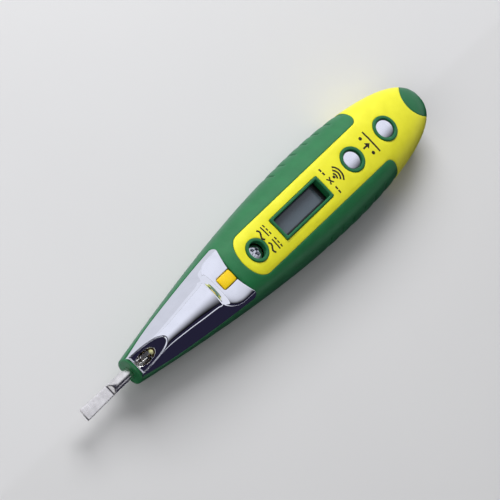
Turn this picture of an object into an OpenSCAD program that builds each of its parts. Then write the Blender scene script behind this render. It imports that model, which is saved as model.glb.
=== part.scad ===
// Digital voltage test pen with a screwdriver blade and a lamp.
// X runs along the pen from the blade tip to the tail cap, Z points up out of the
// display panel, and the pen lies on its flat back at Z = 0. Millimetres.

/* [Case] */
// Greatest half width of the case
case_half_w = 11.9; // [11.5:0.1:12.2]
// Height of the case top above the pen's centre line
case_top = 7.5; // [7.3:0.1:7.8]
// Height of the pen's centre line above the flat back
axis_h = 7.3; // [7.2:0.1:7.4]
// Thickness of the soft grip skin
skin_t = 0.9; // [0.8:0.1:1.0]
// Thickness of the hard case under the skin
wall_t = 1.1; // [1.0:0.1:1.1]
// Half width of the yellow panel between the grips
panel_half_w = 6.3; // [6.0:0.1:6.6]
// Where the grips end, along the pen
grip_end_x = 47.4; // [46:0.2:49]
// Number of nicks along each grip
nick_count = 7; // [5:1:7]
// Distance from one nick to the next
nick_pitch = 4.6; // [4.2:0.1:4.6]

/* [Blade] */
// Where the blade tip is, along the pen
tip_x = -68.6; // [-72:0.2:-67]
// Width of the blade at its tip
blade_w = 3.5; // [3.0:0.1:3.8]
// Thickness of the blade at its tip
blade_t = 0.6; // [0.5:0.1:0.8]
// Diameter of the round shaft
shaft_d = 3.0; // [2.8:0.1:3.0]

/* [Lamp hood] */
// Height of the hood's highest point above the centre line
hood_peak_z = 8.2; // [8.0:0.1:8.6]
// Height of the thumb scoop's floor above the centre line
scoop_z = 6.05; // [6.0:0.05:6.1]
// Wall of the hood
hood_t = 0.9; // [0.8:0.1:1.0]
// Radius of the hood's hollow rear edge, seen from above
hood_rear_r = 17.0; // [16.0:0.1:18.0]

/* [Lamp] */
// Diameter of the lamp
led_d = 3.0; // [2.8:0.1:3.0]
// Length of the lamp button
button_l = 4.9; // [4.6:0.1:5.0]
// Width of the lamp button
button_w = 3.3; // [3.2:0.1:3.8]

/* [Display and keys] */
// Length of the display frame
bezel_l = 19.3; // [18.8:0.1:19.6]
// Width of the display frame
bezel_w = 6.9; // [6.7:0.1:7.1]
// Width of the display frame's rim
bezel_rim = 0.8; // [0.7:0.05:0.9]
// Where the induction key is, along the pen
induction_x = 37.3; // [36.8:0.1:37.8]
// Where the direct contact key is, along the pen
direct_x = 51.3; // [50.8:0.1:51.6]
// Outer diameter of a key ring
ring_d = 7.05; // [6.9:0.05:7.2]
// Diameter of a key cap
key_d = 5.0; // [4.8:0.1:5.0]

/* [Screw and cells] */
// Where the case screw is, along the pen
screw_x = -1.8; // [-2.2:0.1:-1.4]
// Outer diameter of the ring round the screw
screw_ring_d = 6.5; // [6.3:0.1:6.7]
// Diameter of the screw head
screw_head_d = 4.4; // [4.0:0.1:4.5]
// Diameter of one button cell
cell_d = 7.9; // [7.7:0.1:7.9]
// Thickness of one button cell
cell_t = 3.6; // [3.4:0.1:3.6]

/* [Hidden] */

green = [0.11, 0.44, 0.26];
yellow = [0.93, 0.9, 0.2];
button_yellow = [0.98, 0.84, 0.08];
chrome = [0.86, 0.87, 0.88];
nickel = [0.7, 0.68, 0.64];
brass = [0.78, 0.62, 0.3];
board_green = [0.1, 0.3, 0.18];
black = [0.08, 0.08, 0.08];

// Case outline, seen from above and from the side
nose_x = -50.3;              // front face of the nose
wide_x = 29;                 // widest place
tail_x = 68.6;               // tail end
plan_slope = 0.199;          // taper of the straight part towards the nose
plan_bend = 11.2;            // how gently the taper sets in
tail_power = 0.37;           // bluntness of the tail
tail_top_power = 0.28;       // the same, for the height of its top
nose_top = 3.4;              // height of the nose above the centre line
nose_belly = 2.4;            // depth of the nose below the centre line
belly = 8.4;                 // depth of the belly before the flat back cuts it
top_power = 2.4;             // squareness of the upper half
belly_power = 2.8;           // squareness of the lower half
shell_t = skin_t + wall_t;
gap = 0.05;                  // clearance between moulded pieces
section_points = 34;
body_stations = 11;
tail_step = 8;               // degrees between stations of the tail
panel_nose_x = -7.5;         // front of the panel's rounded end
panel_nose_l = 4.8;          // length of that end
grip_corner_r = 2.3;
nick_first_x = 19.0;
nick_r = 1.2;
nick_depth = 0.35;
cap_x = 66.8;                // centre of the tail cap's round front edge
cap_r = 5.2;

// Hood, as [x, crease half width, crease height, ridge height]
hood_front_x = -49.65;
facet_end_x = -39;
peak_x = -21.5;
hood_corner_x = -9.3;
hood_stations = [
    [hood_front_x, 2.7, 3.35, 3.5],
    [-45, 2.4, 4.6, 4.95],
    [facet_end_x, 2.2, 6.2, 6.6],
    [-33, 2.5, 6.95, 7.4],
    [-27, 3.1, 7.35, 7.9],
    [peak_x, 3.6, 7.6, hood_peak_z],
    [-19.6, 5.4, 6.5, 7.0],
    [-17.6, 6.5, 5.75, scoop_z],
    [-12, 7.1, 5.8, scoop_z + 0.05],
    [hood_corner_x, 7.3, 5.8, scoop_z + 0.05]
];
base_front_z = 1.2;          // foot of the hood at its front edge
base_slope = 0.06;           // how the foot rises towards the tail
hood_rear_x = -11.5;         // middle of the hollow rear edge
hood_side = 0.1;             // how far the foot stands in from the case surface
hood_front_draw = 0.26;      // how much further in it stands at the front edge
hood_draw_x = -34;           // where that extra draw begins
opening_x = -46.2;
opening_l = 6.0;
opening_w = 3.3;

led_z = 3.15;
led_front_x = -49.2;
led_l = 4.6;
lead_t = 0.5;
lead_gap = 2.54;
lead_end_x = -38;
shaft_end_x = -38;
anchor_d = 3.9;              // collar that holds the shaft in the case
anchor_l = 4;
anchor_x = shaft_end_x - anchor_l;
resistor_x = -33.4;
button_x = -14.05;
button_top_z = 6.4;
button_flange_z = 4.5;
flange_t = 0.5;
switch_top_z = 3.5;
lamp_board_z = 1.3;
lamp_board_t = 0.6;
lamp_board_l = 9;
lamp_board_w = 8;
lamp_board_x = -18.5;        // front edge of the lamp board
switch_w = 5;
plunger_d = 2.0;

bezel_x = 16.2;
bezel_corner_r = 0.4;
bezel_top_z = 7.6;
bezel_low_z = 4.95;
board_z = 2.75;
board_t = 0.6;
board_top_z = board_z + board_t;
glass_z = 3.75;
glass_t = 1.1;
glass_l = 16.6;
glass_w = 5.1;
glass_shift = -0.4;
pad_t = 0.1;
pad_d = 4;
chip_x = 30;
chip_d = 7;
key_foot_z = 5.0;
key_foot_t = 0.4;
ring_low_z = 5.5;
ring_bore_d = key_d + 0.2;
induction_ring_z = 7.55;     // tops of the key rings
direct_ring_z = 6.95;
direct_tilt = 4.6;           // slope of the panel at the direct contact key

well_top_z = 7.05;
well_seat_z = 4.2;
well_low_z = 3.0;
well_bore_d = 4.7;
screw_hole_d = 2.6;
screw_head_t = 1.3;
screw_shank_d = 2.2;
screw_tip_z = -3.0;
boss_d = 5.2;

cell_x = 6.0;                // front face of the first cell
cell_count = 3;
cell_z = -axis_h + shell_t + cell_d / 2 + 0.05;
contact_t = 0.3;
cells_end_x = cell_x + cell_count * cell_t;
rear_contact_x = 20.9;

wire_d = 1.0;
lamp_wire_route = [
    [-38, 1.27, 3.15], [-35, 1.5, 3.1], [-31, 1.8, 3.0], [-27, 2.0, 2.8],
    [-23, 2.0, 2.55], [-20, 2.0, 2.42], [-17.2, 2.0, 2.42]
];
battery_route = [
    [-11.2, 2.9, 2.42], [-9, 3.4, 2.4], [-6, 4.2, 2.0], [-2, 4.5, 1.2],
    [2, 4.0, 0.4], [4, 3.2, -0.2], [5.05, 2.6, -0.6]
];
probe_d = 0.8;
probe_route = [
    [-23.5, 0, 0], [-20, -0.8, -0.5], [-15, -2.6, -1.0], [-10, -4.4, -1.2],
    [-6, -5.6, -0.9], [-2, -6.2, -0.2], [1, -6.2, 0.9], [3.2, -6.0, 2.0], [5, -5.8, 2.33]
];

// ---- outlines ----

function half_width(x) = x < wide_x
    ? case_half_w - (norm([plan_bend, plan_slope * (wide_x - x)]) - plan_bend)
    : case_half_w * pow(1 - pow((x - wide_x) / (tail_x - wide_x), 2), tail_power);
function front_share(x) = 1 - pow((wide_x - x) / (wide_x - nose_x), 2);
function top_height(x) = nose_top + (case_top - nose_top) * front_share(x);
function belly_depth(x) = nose_belly + (belly - nose_belly) * front_share(x);
function signed_pow(v, p) = sign(v) * pow(abs(v), p);
function surface_half(x, z) =
    half_width(x) * pow(1 - pow(z / top_height(x), top_power), 1 / top_power);
function foot_z(x) = base_front_z + base_slope * (x - hood_front_x);
function hood_draw(x) = hood_side
    + hood_front_draw * pow(max(0, (hood_draw_x - x) / (hood_draw_x - hood_front_x)), 2);

// Each station is [x, half width, top height, belly depth], drawn in by inset
function nose_stations(inset) = [
    for (i = [0 : body_stations - 1])
        let (front = nose_x + inset,
             x = wide_x - (wide_x - front) * (1 - i / body_stations))
        [x, half_width(x) - inset, top_height(x) - inset, belly_depth(x) - inset]
];
function tail_stations(inset) = [
    for (a = [0 : tail_step : 88])
        let (s = pow(cos(a), 2 * tail_power))
        [wide_x + (tail_x - inset - wide_x) * sin(a),
         (case_half_w - inset) * s, (case_top - inset) * pow(cos(a), 2 * tail_top_power),
         (belly - inset) * s]
];

// One thin slice across the pen, flat where the back cuts it
module body_slice(station, inset) {
    outline = [
        for (i = [0 : section_points - 1])
            let (a = 360 * (i + 0.5) / section_points,
                 upper = sin(a) > 0,
                 p = 2 / (upper ? top_power : belly_power),
                 h = upper ? station[2] : station[3])
            [station[1] * signed_pow(cos(a), p),
             max(h * signed_pow(sin(a), p), inset - axis_h)]
    ];
    translate([station[0], 0, 0])
        rotate([90, 0, 90]) linear_extrude(height = 0.01) polygon(outline);
}

// The whole case as a solid, drawn in by inset
module body_loft(inset = 0) {
    stations = concat(nose_stations(inset), tail_stations(inset));
    for (i = [0 : len(stations) - 2])
        hull() {
            body_slice(stations[i], inset);
            body_slice(stations[i + 1], inset);
        }
}

module upper_half() {
    translate([-80, -20, gap / 2]) cube([160, 40, 20]);
}

module lower_half() {
    translate([-80, -20, -20]) cube([160, 40, 20 - gap / 2]);
}

// Plan of the yellow panel: a rounded front end and straight sides
module panel_plan() {
    translate([panel_nose_x + panel_nose_l, 0])
        scale([panel_nose_l, panel_half_w]) circle(r = 1, $fn = 48);
    translate([panel_nose_x + panel_nose_l, -panel_half_w])
        square([80, 2 * panel_half_w]);
}

// Plan of the soft grips: round the nose and along both sides
module grip_plan() {
    offset(r = grip_corner_r, $fn = 24) offset(delta = -grip_corner_r)
        difference() {
            translate([nose_x - 10, -30]) square([grip_end_x - nose_x + 10, 60]);
            panel_plan();
        }
}

module grip_prism(grow = 0) {
    translate([0, 0, -20]) linear_extrude(height = 40) offset(delta = grow) grip_plan();
}

// Room that the hood takes out of the case, above its foot
module hood_room() {
    difference() {
        rotate([90, 0, 0]) translate([0, 0, -20]) linear_extrude(height = 40)
            polygon([[hood_front_x - gap, foot_z(hood_front_x)], [hood_front_x - gap, 20],
                     [0, 20], [0, foot_z(0)]]);
        translate([hood_rear_x + hood_rear_r, 0, -20])
            cylinder(r = hood_rear_r, h = 60, $fn = 96);
        translate([hood_corner_x, -20, -20]) cube([30, 40, 60]);
    }
}

module shaft_room() {
    translate([nose_x - 2, 0, 0]) rotate([0, 90, 0])
        cylinder(d = shaft_d + 0.1, h = 16, $fn = 32);
}

module anchor_room() {
    translate([anchor_x - gap, 0, 0]) rotate([0, 90, 0])
        cylinder(d = anchor_d + 0.1, h = anchor_l + 2 * gap, $fn = 48);
}

module cap_room(clear = 0) {
    translate([cap_x, 0, -20]) cylinder(r = cap_r + clear, h = 40, $fn = 64);
}

module nicks() {
    for (i = [0 : nick_count - 1], side = [-1, 1])
        let (x = nick_first_x + i * nick_pitch)
        translate([x, side * (half_width(x) + nick_r - nick_depth), -20])
            cylinder(r = nick_r, h = 40, $fn = 16);
}

// Bar with round corners, standing on the XY plane
module rounded_bar(l, w, h, r) {
    translate([-l / 2 + r, -w / 2, 0]) cube([l - 2 * r, w, h]);
    translate([-l / 2, -w / 2 + r, 0]) cube([l, w - 2 * r, h]);
    for (sx = [-1, 1], sy = [-1, 1])
        translate([sx * (l / 2 - r), sy * (w / 2 - r), 0])
            cylinder(r = r, h = h, $fn = 32);
}

// Wall of a hollow tube
module tube(outer_d, inner_d, h) {
    difference() {
        cylinder(d = outer_d, h = h, $fn = 64);
        translate([0, 0, -1]) cylinder(d = inner_d, h = h + 2, $fn = 64);
    }
}

// ---- case ----

module rear_case() {
    color(yellow) translate([0, 0, axis_h]) {
        difference() {
            intersection() {
                lower_half();
                union() {
                    body_loft(skin_t + gap);
                    difference() {
                        body_loft();
                        grip_prism(gap);
                    }
                }
            }
            body_loft(shell_t);
            shaft_room();
            anchor_room();
            cap_room(gap);
        }
        // pillar for the case screw
        difference() {
            translate([screw_x, 0, shell_t - axis_h - 0.5])
                cylinder(d = boss_d, h = well_low_z - gap + axis_h - shell_t + 0.5, $fn = 32);
            translate([screw_x, 0, screw_tip_z - 0.4])
                cylinder(d = screw_shank_d + 0.1, h = 20, $fn = 32);
        }
        // ribs that hold the cell contacts
        for (x = [cell_x - contact_t - gap - 0.8, rear_contact_x + contact_t + gap])
            translate([x, -4, shell_t - axis_h - 0.5]) cube([0.8, 8, 4.5]);
    }
}

module front_case() {
    color(yellow) translate([0, 0, axis_h]) difference() {
        intersection() {
            upper_half();
            union() {
                difference() {
                    union() {
                        body_loft(skin_t + gap);
                        difference() {
                            body_loft();
                            grip_prism(gap);
                        }
                    }
                    body_loft(shell_t);
                }
                // well for the case screw
                intersection() {
                    body_loft(skin_t);
                    translate([screw_x, 0, well_low_z])
                        cylinder(d = screw_ring_d + 0.8, h = 10, $fn = 48);
                }
            }
        }
        hood_room();
        shaft_room();
        cap_room(gap);
        translate([screw_x, 0, 0]) {
            cylinder(d = screw_hole_d, h = 20, $fn = 32);
            translate([0, 0, well_seat_z]) cylinder(d = well_bore_d, h = 20, $fn = 48);
            translate([0, 0, ring_low_z]) cylinder(d = screw_ring_d + gap, h = 20, $fn = 48);
        }
        translate([bezel_x, 0, 0])
            rounded_bar(bezel_l + 2 * gap, bezel_w + 2 * gap, 20, bezel_corner_r);
        for (x = [induction_x, direct_x])
            translate([x, 0, 0]) cylinder(d = ring_d + gap, h = 20, $fn = 48);
    }
}

module front_overmould() {
    color(green) translate([0, 0, axis_h]) difference() {
        intersection() {
            upper_half();
            body_loft();
            grip_prism();
        }
        body_loft(skin_t);
        hood_room();
        shaft_room();
        nicks();
    }
}

module rear_overmould() {
    color(green) translate([0, 0, axis_h]) difference() {
        intersection() {
            lower_half();
            body_loft();
            grip_prism();
        }
        body_loft(skin_t);
        shaft_room();
        nicks();
    }
}

module tail_cap() {
    color(green) translate([0, 0, axis_h]) difference() {
        intersection() {
            body_loft();
            cap_room();
        }
        body_loft(shell_t);
    }
}

// ---- display ----

module lcd_bezel() {
    color(green) translate([bezel_x, 0, axis_h + bezel_low_z]) difference() {
        rounded_bar(bezel_l, bezel_w, bezel_top_z - bezel_low_z, bezel_corner_r);
        translate([-bezel_l / 2 + bezel_rim, -bezel_w / 2 + bezel_rim, -1])
            cube([bezel_l - 2 * bezel_rim, bezel_w - 2 * bezel_rim, 10]);
    }
}

module lcd_glass() {
    color([0.42, 0.46, 0.5])
        translate([bezel_x + glass_shift - glass_l / 2, -glass_w / 2, axis_h + glass_z])
            cube([glass_l, glass_w, glass_t]);
}

// Two rubber strips that join the glass to the board
module lcd_connector() {
    color(black) for (side = [-1, 1])
        translate([bezel_x + glass_shift - glass_l / 2, side * 2.0 - 0.4, axis_h + board_top_z])
            cube([glass_l, 0.8, glass_z - board_top_z]);
}

// ---- case screw ----

module screw_ring() {
    color(green) translate([screw_x, 0, axis_h + ring_low_z])
        tube(screw_ring_d, well_bore_d, well_top_z - ring_low_z);
}

module case_screw() {
    rim_t = 0.7;
    cross_l = 2.6;
    cross_w = 0.6;
    cross_depth = 0.8;
    color(nickel) translate([screw_x, 0, axis_h]) difference() {
        union() {
            translate([0, 0, screw_tip_z])
                cylinder(d = screw_shank_d, h = well_seat_z + 0.1 - screw_tip_z, $fn = 32);
            translate([0, 0, well_seat_z + 0.02])
                cylinder(d = screw_head_d, h = rim_t, $fn = 48);
            translate([0, 0, well_seat_z + rim_t])
                cylinder(d1 = screw_head_d, d2 = screw_head_d - 1.2, h = screw_head_t - rim_t,
                         $fn = 48);
        }
        for (a = [0, 90])
            rotate([0, 0, a + 20])
                translate([-cross_l / 2, -cross_w / 2, well_seat_z + screw_head_t - cross_depth])
                cube([cross_l, cross_w, 2]);
    }
}

// ---- touch keys ----

// Ring whose top follows the panel's slope
module key_ring(x, top_z, tilt) {
    color(green) translate([x, 0, axis_h]) difference() {
        translate([0, 0, ring_low_z]) tube(ring_d, ring_bore_d, 4);
        translate([0, 0, top_z]) rotate([0, tilt, 0]) translate([-10, -10, 0]) cube(20);
    }
}

// Cap on a wider foot that stops it under the ring
module touch_key(x, top_z) {
    color(chrome) translate([x, 0, axis_h]) {
        translate([0, 0, key_foot_z]) cylinder(d = key_d + 1, h = key_foot_t, $fn = 48);
        translate([0, 0, key_foot_z])
            cylinder(d = key_d, h = top_z - 0.3 - key_foot_z, $fn = 48);
        translate([0, 0, top_z - 0.3]) cylinder(d1 = key_d, d2 = key_d - 0.8, h = 0.3, $fn = 48);
    }
}

function coil_point(i, steps, turns, r, h) =
    let (a = 360 * turns * i / steps) [r * cos(a), r * sin(a), h * i / steps];

// Closed tube of round wire swept along points; the section turns with the path
module swept_wire(points, d, sides = 6) {
    n = len(points);
    function heading(i) =
        let (v = points[min(i + 1, n - 1)] - points[max(i - 1, 0)]) v / norm(v);
    function across(t) =
        let (s = abs(t[2]) > 0.9 ? cross(t, [1, 0, 0]) : cross(t, [0, 0, 1])) s / norm(s);
    rings = [
        for (i = [0 : n - 1])
            let (t = heading(i), u = across(t), v = cross(t, u))
            for (k = [0 : sides - 1])
                points[i] + d / 2 * (cos(360 * k / sides) * u + sin(360 * k / sides) * v)
    ];
    sides_faces = [
        for (i = [0 : n - 2], k = [0 : sides - 1])
            let (a = i * sides + k, b = i * sides + (k + 1) % sides)
            each [[a, b, b + sides], [a, b + sides, a + sides]]
    ];
    first = [for (k = [sides - 1 : -1 : 0]) k];
    last = [for (k = [0 : sides - 1]) (n - 1) * sides + k];
    polyhedron(points = rings, faces = concat([first, last], sides_faces), convexity = 10);
}

// Coil spring standing on the XY plane, its wire ends inside the height
module coil_spring(coil_d, height, wire, turns, per_turn = 12) {
    steps = turns * per_turn;
    path = [for (i = [0 : steps])
        coil_point(i, steps, turns, (coil_d - wire) / 2, height - wire) + [0, 0, wire / 2]];
    swept_wire(path, wire);
}

module induction_key_ring() { key_ring(induction_x, induction_ring_z, 0); }
module direct_key_ring() { key_ring(direct_x, direct_ring_z, direct_tilt); }
module induction_key() { touch_key(induction_x, induction_ring_z - 0.25); }
module direct_key() { touch_key(direct_x, direct_ring_z - 0.25); }

module key_spring(x) {
    color(nickel) translate([x, 0, axis_h + board_top_z + pad_t])
        coil_spring(3.4, key_foot_z - board_top_z - pad_t, 0.3, 3);
}

module induction_key_spring() { key_spring(induction_x); }
module direct_key_spring() { key_spring(direct_x); }

// ---- lamp hood and lamp ----

// One slice of the hood: foot, crease and ridge, mirrored about the pen's middle
module hood_slice(station, inset) {
    x = station[0];
    foot = surface_half(x, foot_z(x)) - hood_draw(x) - inset;
    crease = [station[1] - inset * 0.7, station[2] - inset];
    right = [[foot, foot_z(x) + 0.02 - inset * 3], [foot, foot_z(x) + 0.3], crease];
    left = [for (i = [2 : -1 : 0]) [-right[i][0], right[i][1]]];
    translate([x, 0, 0]) rotate([90, 0, 90]) linear_extrude(height = 0.01)
        polygon(concat(right, [[0, station[3] - inset]], left));
}

module hood_solid(inset = 0) {
    for (i = [0 : len(hood_stations) - 2])
        hull() {
            hood_slice(hood_stations[i], inset);
            hood_slice(hood_stations[i + 1], inset);
        }
}

module lamp_hood() {
    color(chrome) translate([0, 0, axis_h]) difference() {
        hood_solid();
        intersection() {
            hood_solid(hood_t);
            translate([hood_front_x + hood_t, -20, -20]) cube([80, 40, 60]);
        }
        translate([hood_rear_x + hood_rear_r, 0, -20])
            cylinder(r = hood_rear_r + gap, h = 60, $fn = 96);
        // slanted opening over the lamp
        translate([opening_x, 0, 2])
            scale([opening_l / 2, opening_w / 2, 1]) cylinder(r = 1, h = 10, $fn = 32);
        translate([led_front_x - 0.2, 0, led_z]) rotate([0, 90, 0])
            cylinder(d = led_d + 0.2, h = led_l + 0.6, $fn = 24);
        // notch for the lamp button
        translate([button_x - button_l / 2 - 0.1, -button_w / 2 - 0.1, 0])
            cube([20, button_w + 0.2, 20]);
        // saddle over the shaft, open to the lamp bore above it
        shaft_room();
        translate([hood_front_x - 1, -shaft_d / 4, 0]) cube([4, shaft_d / 2, led_z]);
    }
}

module lamp_led() {
    color([0.85, 0.9, 0.85, 0.6]) translate([led_front_x, 0, axis_h + led_z])
        rotate([0, 90, 0]) {
            translate([0, 0, led_d / 2]) sphere(d = led_d, $fn = 32);
            translate([0, 0, led_d / 2]) cylinder(d = led_d, h = led_l - led_d / 2, $fn = 32);
        }
}

module led_leads() {
    start_x = led_front_x + led_l;
    color(nickel) for (side = [-1, 1])
        translate([start_x, side * lead_gap / 2 - lead_t / 2, axis_h + led_z - lead_t / 2])
            cube([lead_end_x - start_x, lead_t, lead_t]);
}

// Saddle that carries the lamp over the shaft, with a stop behind it
module led_holder() {
    saddle_l = 2.6;
    stop_l = 0.6;
    color(chrome) translate([led_front_x + led_l - saddle_l, -2.2, axis_h + shaft_d / 2 + 0.1])
        difference() {
            cube([saddle_l + stop_l, 4.4, 1.2]);
            translate([-1, 2.2, led_z - shaft_d / 2 - 0.1]) rotate([0, 90, 0])
                cylinder(d = led_d + 0.04, h = saddle_l + 1, $fn = 48);
        }
}

module lamp_button() {
    color(button_yellow) translate([button_x, 0, axis_h + button_flange_z]) {
        translate([-button_l / 2 - 0.4, -button_w / 2 - 0.4, 0])
            cube([button_l + 0.4, button_w + 0.8, flange_t]);
        rounded_bar(button_l, button_w, button_top_z - button_flange_z, 0.4);
    }
}

module switch_plunger() {
    color(black) translate([button_x, 0, axis_h + switch_top_z - 0.6])
        cylinder(d = plunger_d, h = button_flange_z - switch_top_z + 0.6, $fn = 32);
}

module switch_body() {
    low = lamp_board_z + lamp_board_t;
    color([0.2, 0.2, 0.22]) translate([button_x, 0, axis_h + low]) difference() {
        translate([-switch_w / 2, -switch_w / 2, 0])
            cube([switch_w, switch_w, switch_top_z - low]);
        translate([0, 0, 0.15]) cylinder(d = plunger_d + 0.15, h = 5, $fn = 32);
    }
}

module lamp_board() {
    color(board_green) translate([lamp_board_x, -lamp_board_w / 2, axis_h + lamp_board_z])
        cube([lamp_board_l, lamp_board_w, lamp_board_t]);
}

// ---- wires ----

module wire_pair(route, wire_shade) {
    color(wire_shade) translate([0, 0, axis_h]) for (side = [-1, 1])
        swept_wire([for (p = route) [p[0], side * p[1], p[2]]], wire_d, 8);
}

module lamp_wires() { wire_pair(lamp_wire_route, [0.75, 0.12, 0.1]); }
module battery_leads() { wire_pair(battery_route, [0.1, 0.1, 0.1]); }

module probe_wire() {
    color([0.1, 0.2, 0.6]) translate([0, 0, axis_h]) swept_wire(probe_route, probe_d, 8);
}

// ---- probe ----

module blade_shaft() {
    flat_l = 10.3;
    shoulder_l = 1.1;
    root_w = 3.1;
    root_t = blade_t + 0.2;
    shoulder_x = tip_x + flat_l + shoulder_l;
    color(nickel) translate([0, 0, axis_h]) {
        // flat blade and its shoulder: the plan crossed with the side view
        intersection() {
            translate([0, 0, -3]) linear_extrude(height = 6)
                polygon([[tip_x, -blade_w / 2], [tip_x + flat_l, -root_w / 2],
                         [shoulder_x, -shaft_d / 2], [shoulder_x, shaft_d / 2],
                         [tip_x + flat_l, root_w / 2], [tip_x, blade_w / 2]]);
            rotate([90, 0, 0]) translate([0, 0, -3]) linear_extrude(height = 6)
                polygon([[tip_x, -blade_t / 2], [tip_x + flat_l, -root_t / 2],
                         [shoulder_x, -1], [shoulder_x, 1],
                         [tip_x + flat_l, root_t / 2], [tip_x, blade_t / 2]]);
        }
        translate([shoulder_x - 0.4, 0, 0]) rotate([0, 90, 0])
            cylinder(d = shaft_d, h = shaft_end_x - shoulder_x + 0.4, $fn = 48);
    }
}

module blade_anchor() {
    color(brass) translate([anchor_x, 0, axis_h]) rotate([0, 90, 0])
        tube(anchor_d, shaft_d + 0.04, anchor_l);
}

module contact_spring() {
    slack = 0.1;
    color(nickel) translate([shaft_end_x + slack, 0, axis_h]) rotate([0, 90, 0])
        coil_spring(2.6, resistor_x - shaft_end_x - 2 * slack, 0.35, 4);
}

module safety_resistor() {
    body_l = 8;
    end_d = 2.8;
    end_l = 1.2;
    lead_l = 1.9;
    color([0.45, 0.7, 0.85]) translate([resistor_x, 0, axis_h]) rotate([0, 90, 0]) {
        cylinder(d = end_d, h = end_l, $fn = 32);
        cylinder(d = 2.5, h = body_l, $fn = 32);
        translate([0, 0, body_l - end_l]) cylinder(d = end_d, h = end_l, $fn = 32);
        cylinder(d = 0.6, h = body_l + lead_l, $fn = 16);
    }
}

// ---- main board ----

module main_board() {
    color(board_green) translate([0, 0, axis_h + board_z]) linear_extrude(height = board_t)
        polygon([[2.6, -6.8], [8, -7.4], [44, -7.4], [56, -4.4],
                 [56, 4.4], [44, 7.4], [8, 7.4], [2.6, 6.8]]);
}

module key_pads() {
    color(brass) for (x = [induction_x, direct_x])
        translate([x, 0, axis_h + board_top_z]) cylinder(d = pad_d, h = pad_t, $fn = 48);
}

module display_chip() {
    base_t = 0.7;
    color(black) translate([chip_x, 0, axis_h + board_z]) rotate([180, 0, 0]) {
        cylinder(d = chip_d, h = base_t, $fn = 48);
        translate([0, 0, base_t]) cylinder(d1 = chip_d - 0.6, d2 = 4, h = 0.4, $fn = 48);
    }
}

// Small chip resistors and capacitors under the board
module board_components() {
    small = [0.8, 1.6, 0.5];
    large = [2.5, 3.2, 1.2];
    first_x = 36;
    pitch = 2.6;
    row_y = 2.4;
    large_x = 48;
    color([0.25, 0.22, 0.2]) translate([0, 0, axis_h + board_z]) {
        for (i = [0 : 3], side = [-1, 1])
            translate([first_x + i * pitch, side * row_y - small[1] / 2, -small[2]]) cube(small);
        translate([large_x, -large[1] / 2, -large[2]]) cube(large);
    }
}

// ---- cells ----

module button_cells() {
    color(chrome) for (i = [0 : cell_count - 1])
        translate([cell_x + i * cell_t, 0, axis_h + cell_z]) rotate([0, 90, 0]) {
            cylinder(d = cell_d - 1.5, h = cell_t - 0.02, $fn = 48);
            translate([0, 0, 0.3]) cylinder(d = cell_d, h = cell_t - 0.32, $fn = 64);
        }
}

module battery_contacts() {
    contact_w = 6.8;
    contact_h = 6.6;
    color(brass) for (x = [cell_x - contact_t, rear_contact_x])
        translate([x, -contact_w / 2, axis_h + cell_z - 3.6])
            cube([contact_t, contact_w, contact_h]);
}

module battery_spring() {
    color(nickel) translate([cells_end_x + 0.02, 0, axis_h + cell_z]) rotate([0, 90, 0])
        coil_spring(5, rear_contact_x - cells_end_x - 0.04, 0.45, 3);
}

rear_case();
front_case();
rear_overmould();
front_overmould();
tail_cap();
lcd_bezel();
lcd_glass();
lcd_connector();
screw_ring();
case_screw();
induction_key_ring();
direct_key_ring();
induction_key();
direct_key();
induction_key_spring();
direct_key_spring();
lamp_hood();
lamp_led();
led_leads();
led_holder();
lamp_button();
switch_plunger();
switch_body();
lamp_board();
lamp_wires();
battery_leads();
probe_wire();
blade_shaft();
blade_anchor();
contact_spring();
safety_resistor();
main_board();
key_pads();
display_chip();
board_components();
button_cells();
battery_spring();
battery_contacts();
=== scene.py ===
import math

import bpy
import numpy as np
from mathutils import Matrix, Vector, geometry


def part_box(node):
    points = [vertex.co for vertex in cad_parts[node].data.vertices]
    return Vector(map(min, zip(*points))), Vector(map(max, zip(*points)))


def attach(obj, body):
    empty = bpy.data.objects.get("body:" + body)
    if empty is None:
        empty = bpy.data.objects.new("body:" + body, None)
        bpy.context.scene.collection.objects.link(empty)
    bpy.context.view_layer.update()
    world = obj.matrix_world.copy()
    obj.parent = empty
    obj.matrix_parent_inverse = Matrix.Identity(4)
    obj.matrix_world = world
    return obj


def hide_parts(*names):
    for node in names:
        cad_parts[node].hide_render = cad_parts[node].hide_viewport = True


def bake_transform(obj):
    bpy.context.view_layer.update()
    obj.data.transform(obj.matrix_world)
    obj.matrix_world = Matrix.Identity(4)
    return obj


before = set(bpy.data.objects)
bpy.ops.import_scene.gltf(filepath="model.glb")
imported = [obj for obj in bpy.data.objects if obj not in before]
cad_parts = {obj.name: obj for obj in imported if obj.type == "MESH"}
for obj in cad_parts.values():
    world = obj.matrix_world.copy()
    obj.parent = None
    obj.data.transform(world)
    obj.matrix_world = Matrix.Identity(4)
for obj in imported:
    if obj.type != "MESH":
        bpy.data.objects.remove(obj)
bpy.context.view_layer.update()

# Lengths below are in millimetres, as in the CAD model, until a mesh is made.
MM = 0.001


def corner(node, high):
    """Lowest or highest corner of a CAD node, in millimetres."""
    return np.array(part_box(node)[1 if high else 0]) / MM


def centre(node):
    """Middle of a CAD node's box, in millimetres."""
    return (corner(node, False) + corner(node, True)) / 2


def span(node):
    """Lengths of a CAD node's box, in millimetres."""
    return corner(node, True) - corner(node, False)


def heights(node):
    """Lowest and highest Z of a CAD node, in millimetres."""
    return corner(node, False)[2], corner(node, True)[2]


def stack(*parts):
    """Coordinates side by side in one array. A single number stands for a whole row."""
    return np.stack(np.broadcast_arrays(*parts), -1)


def full_turn(n):
    """Angles of n points round a circle."""
    return np.linspace(0, 2 * math.pi, n, endpoint=False)


def placed(name, data):
    """New object in the scene."""
    obj = bpy.data.objects.new(name, data)
    bpy.context.scene.collection.objects.link(obj)
    return obj


# ---- the case, from the frame ----

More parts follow.
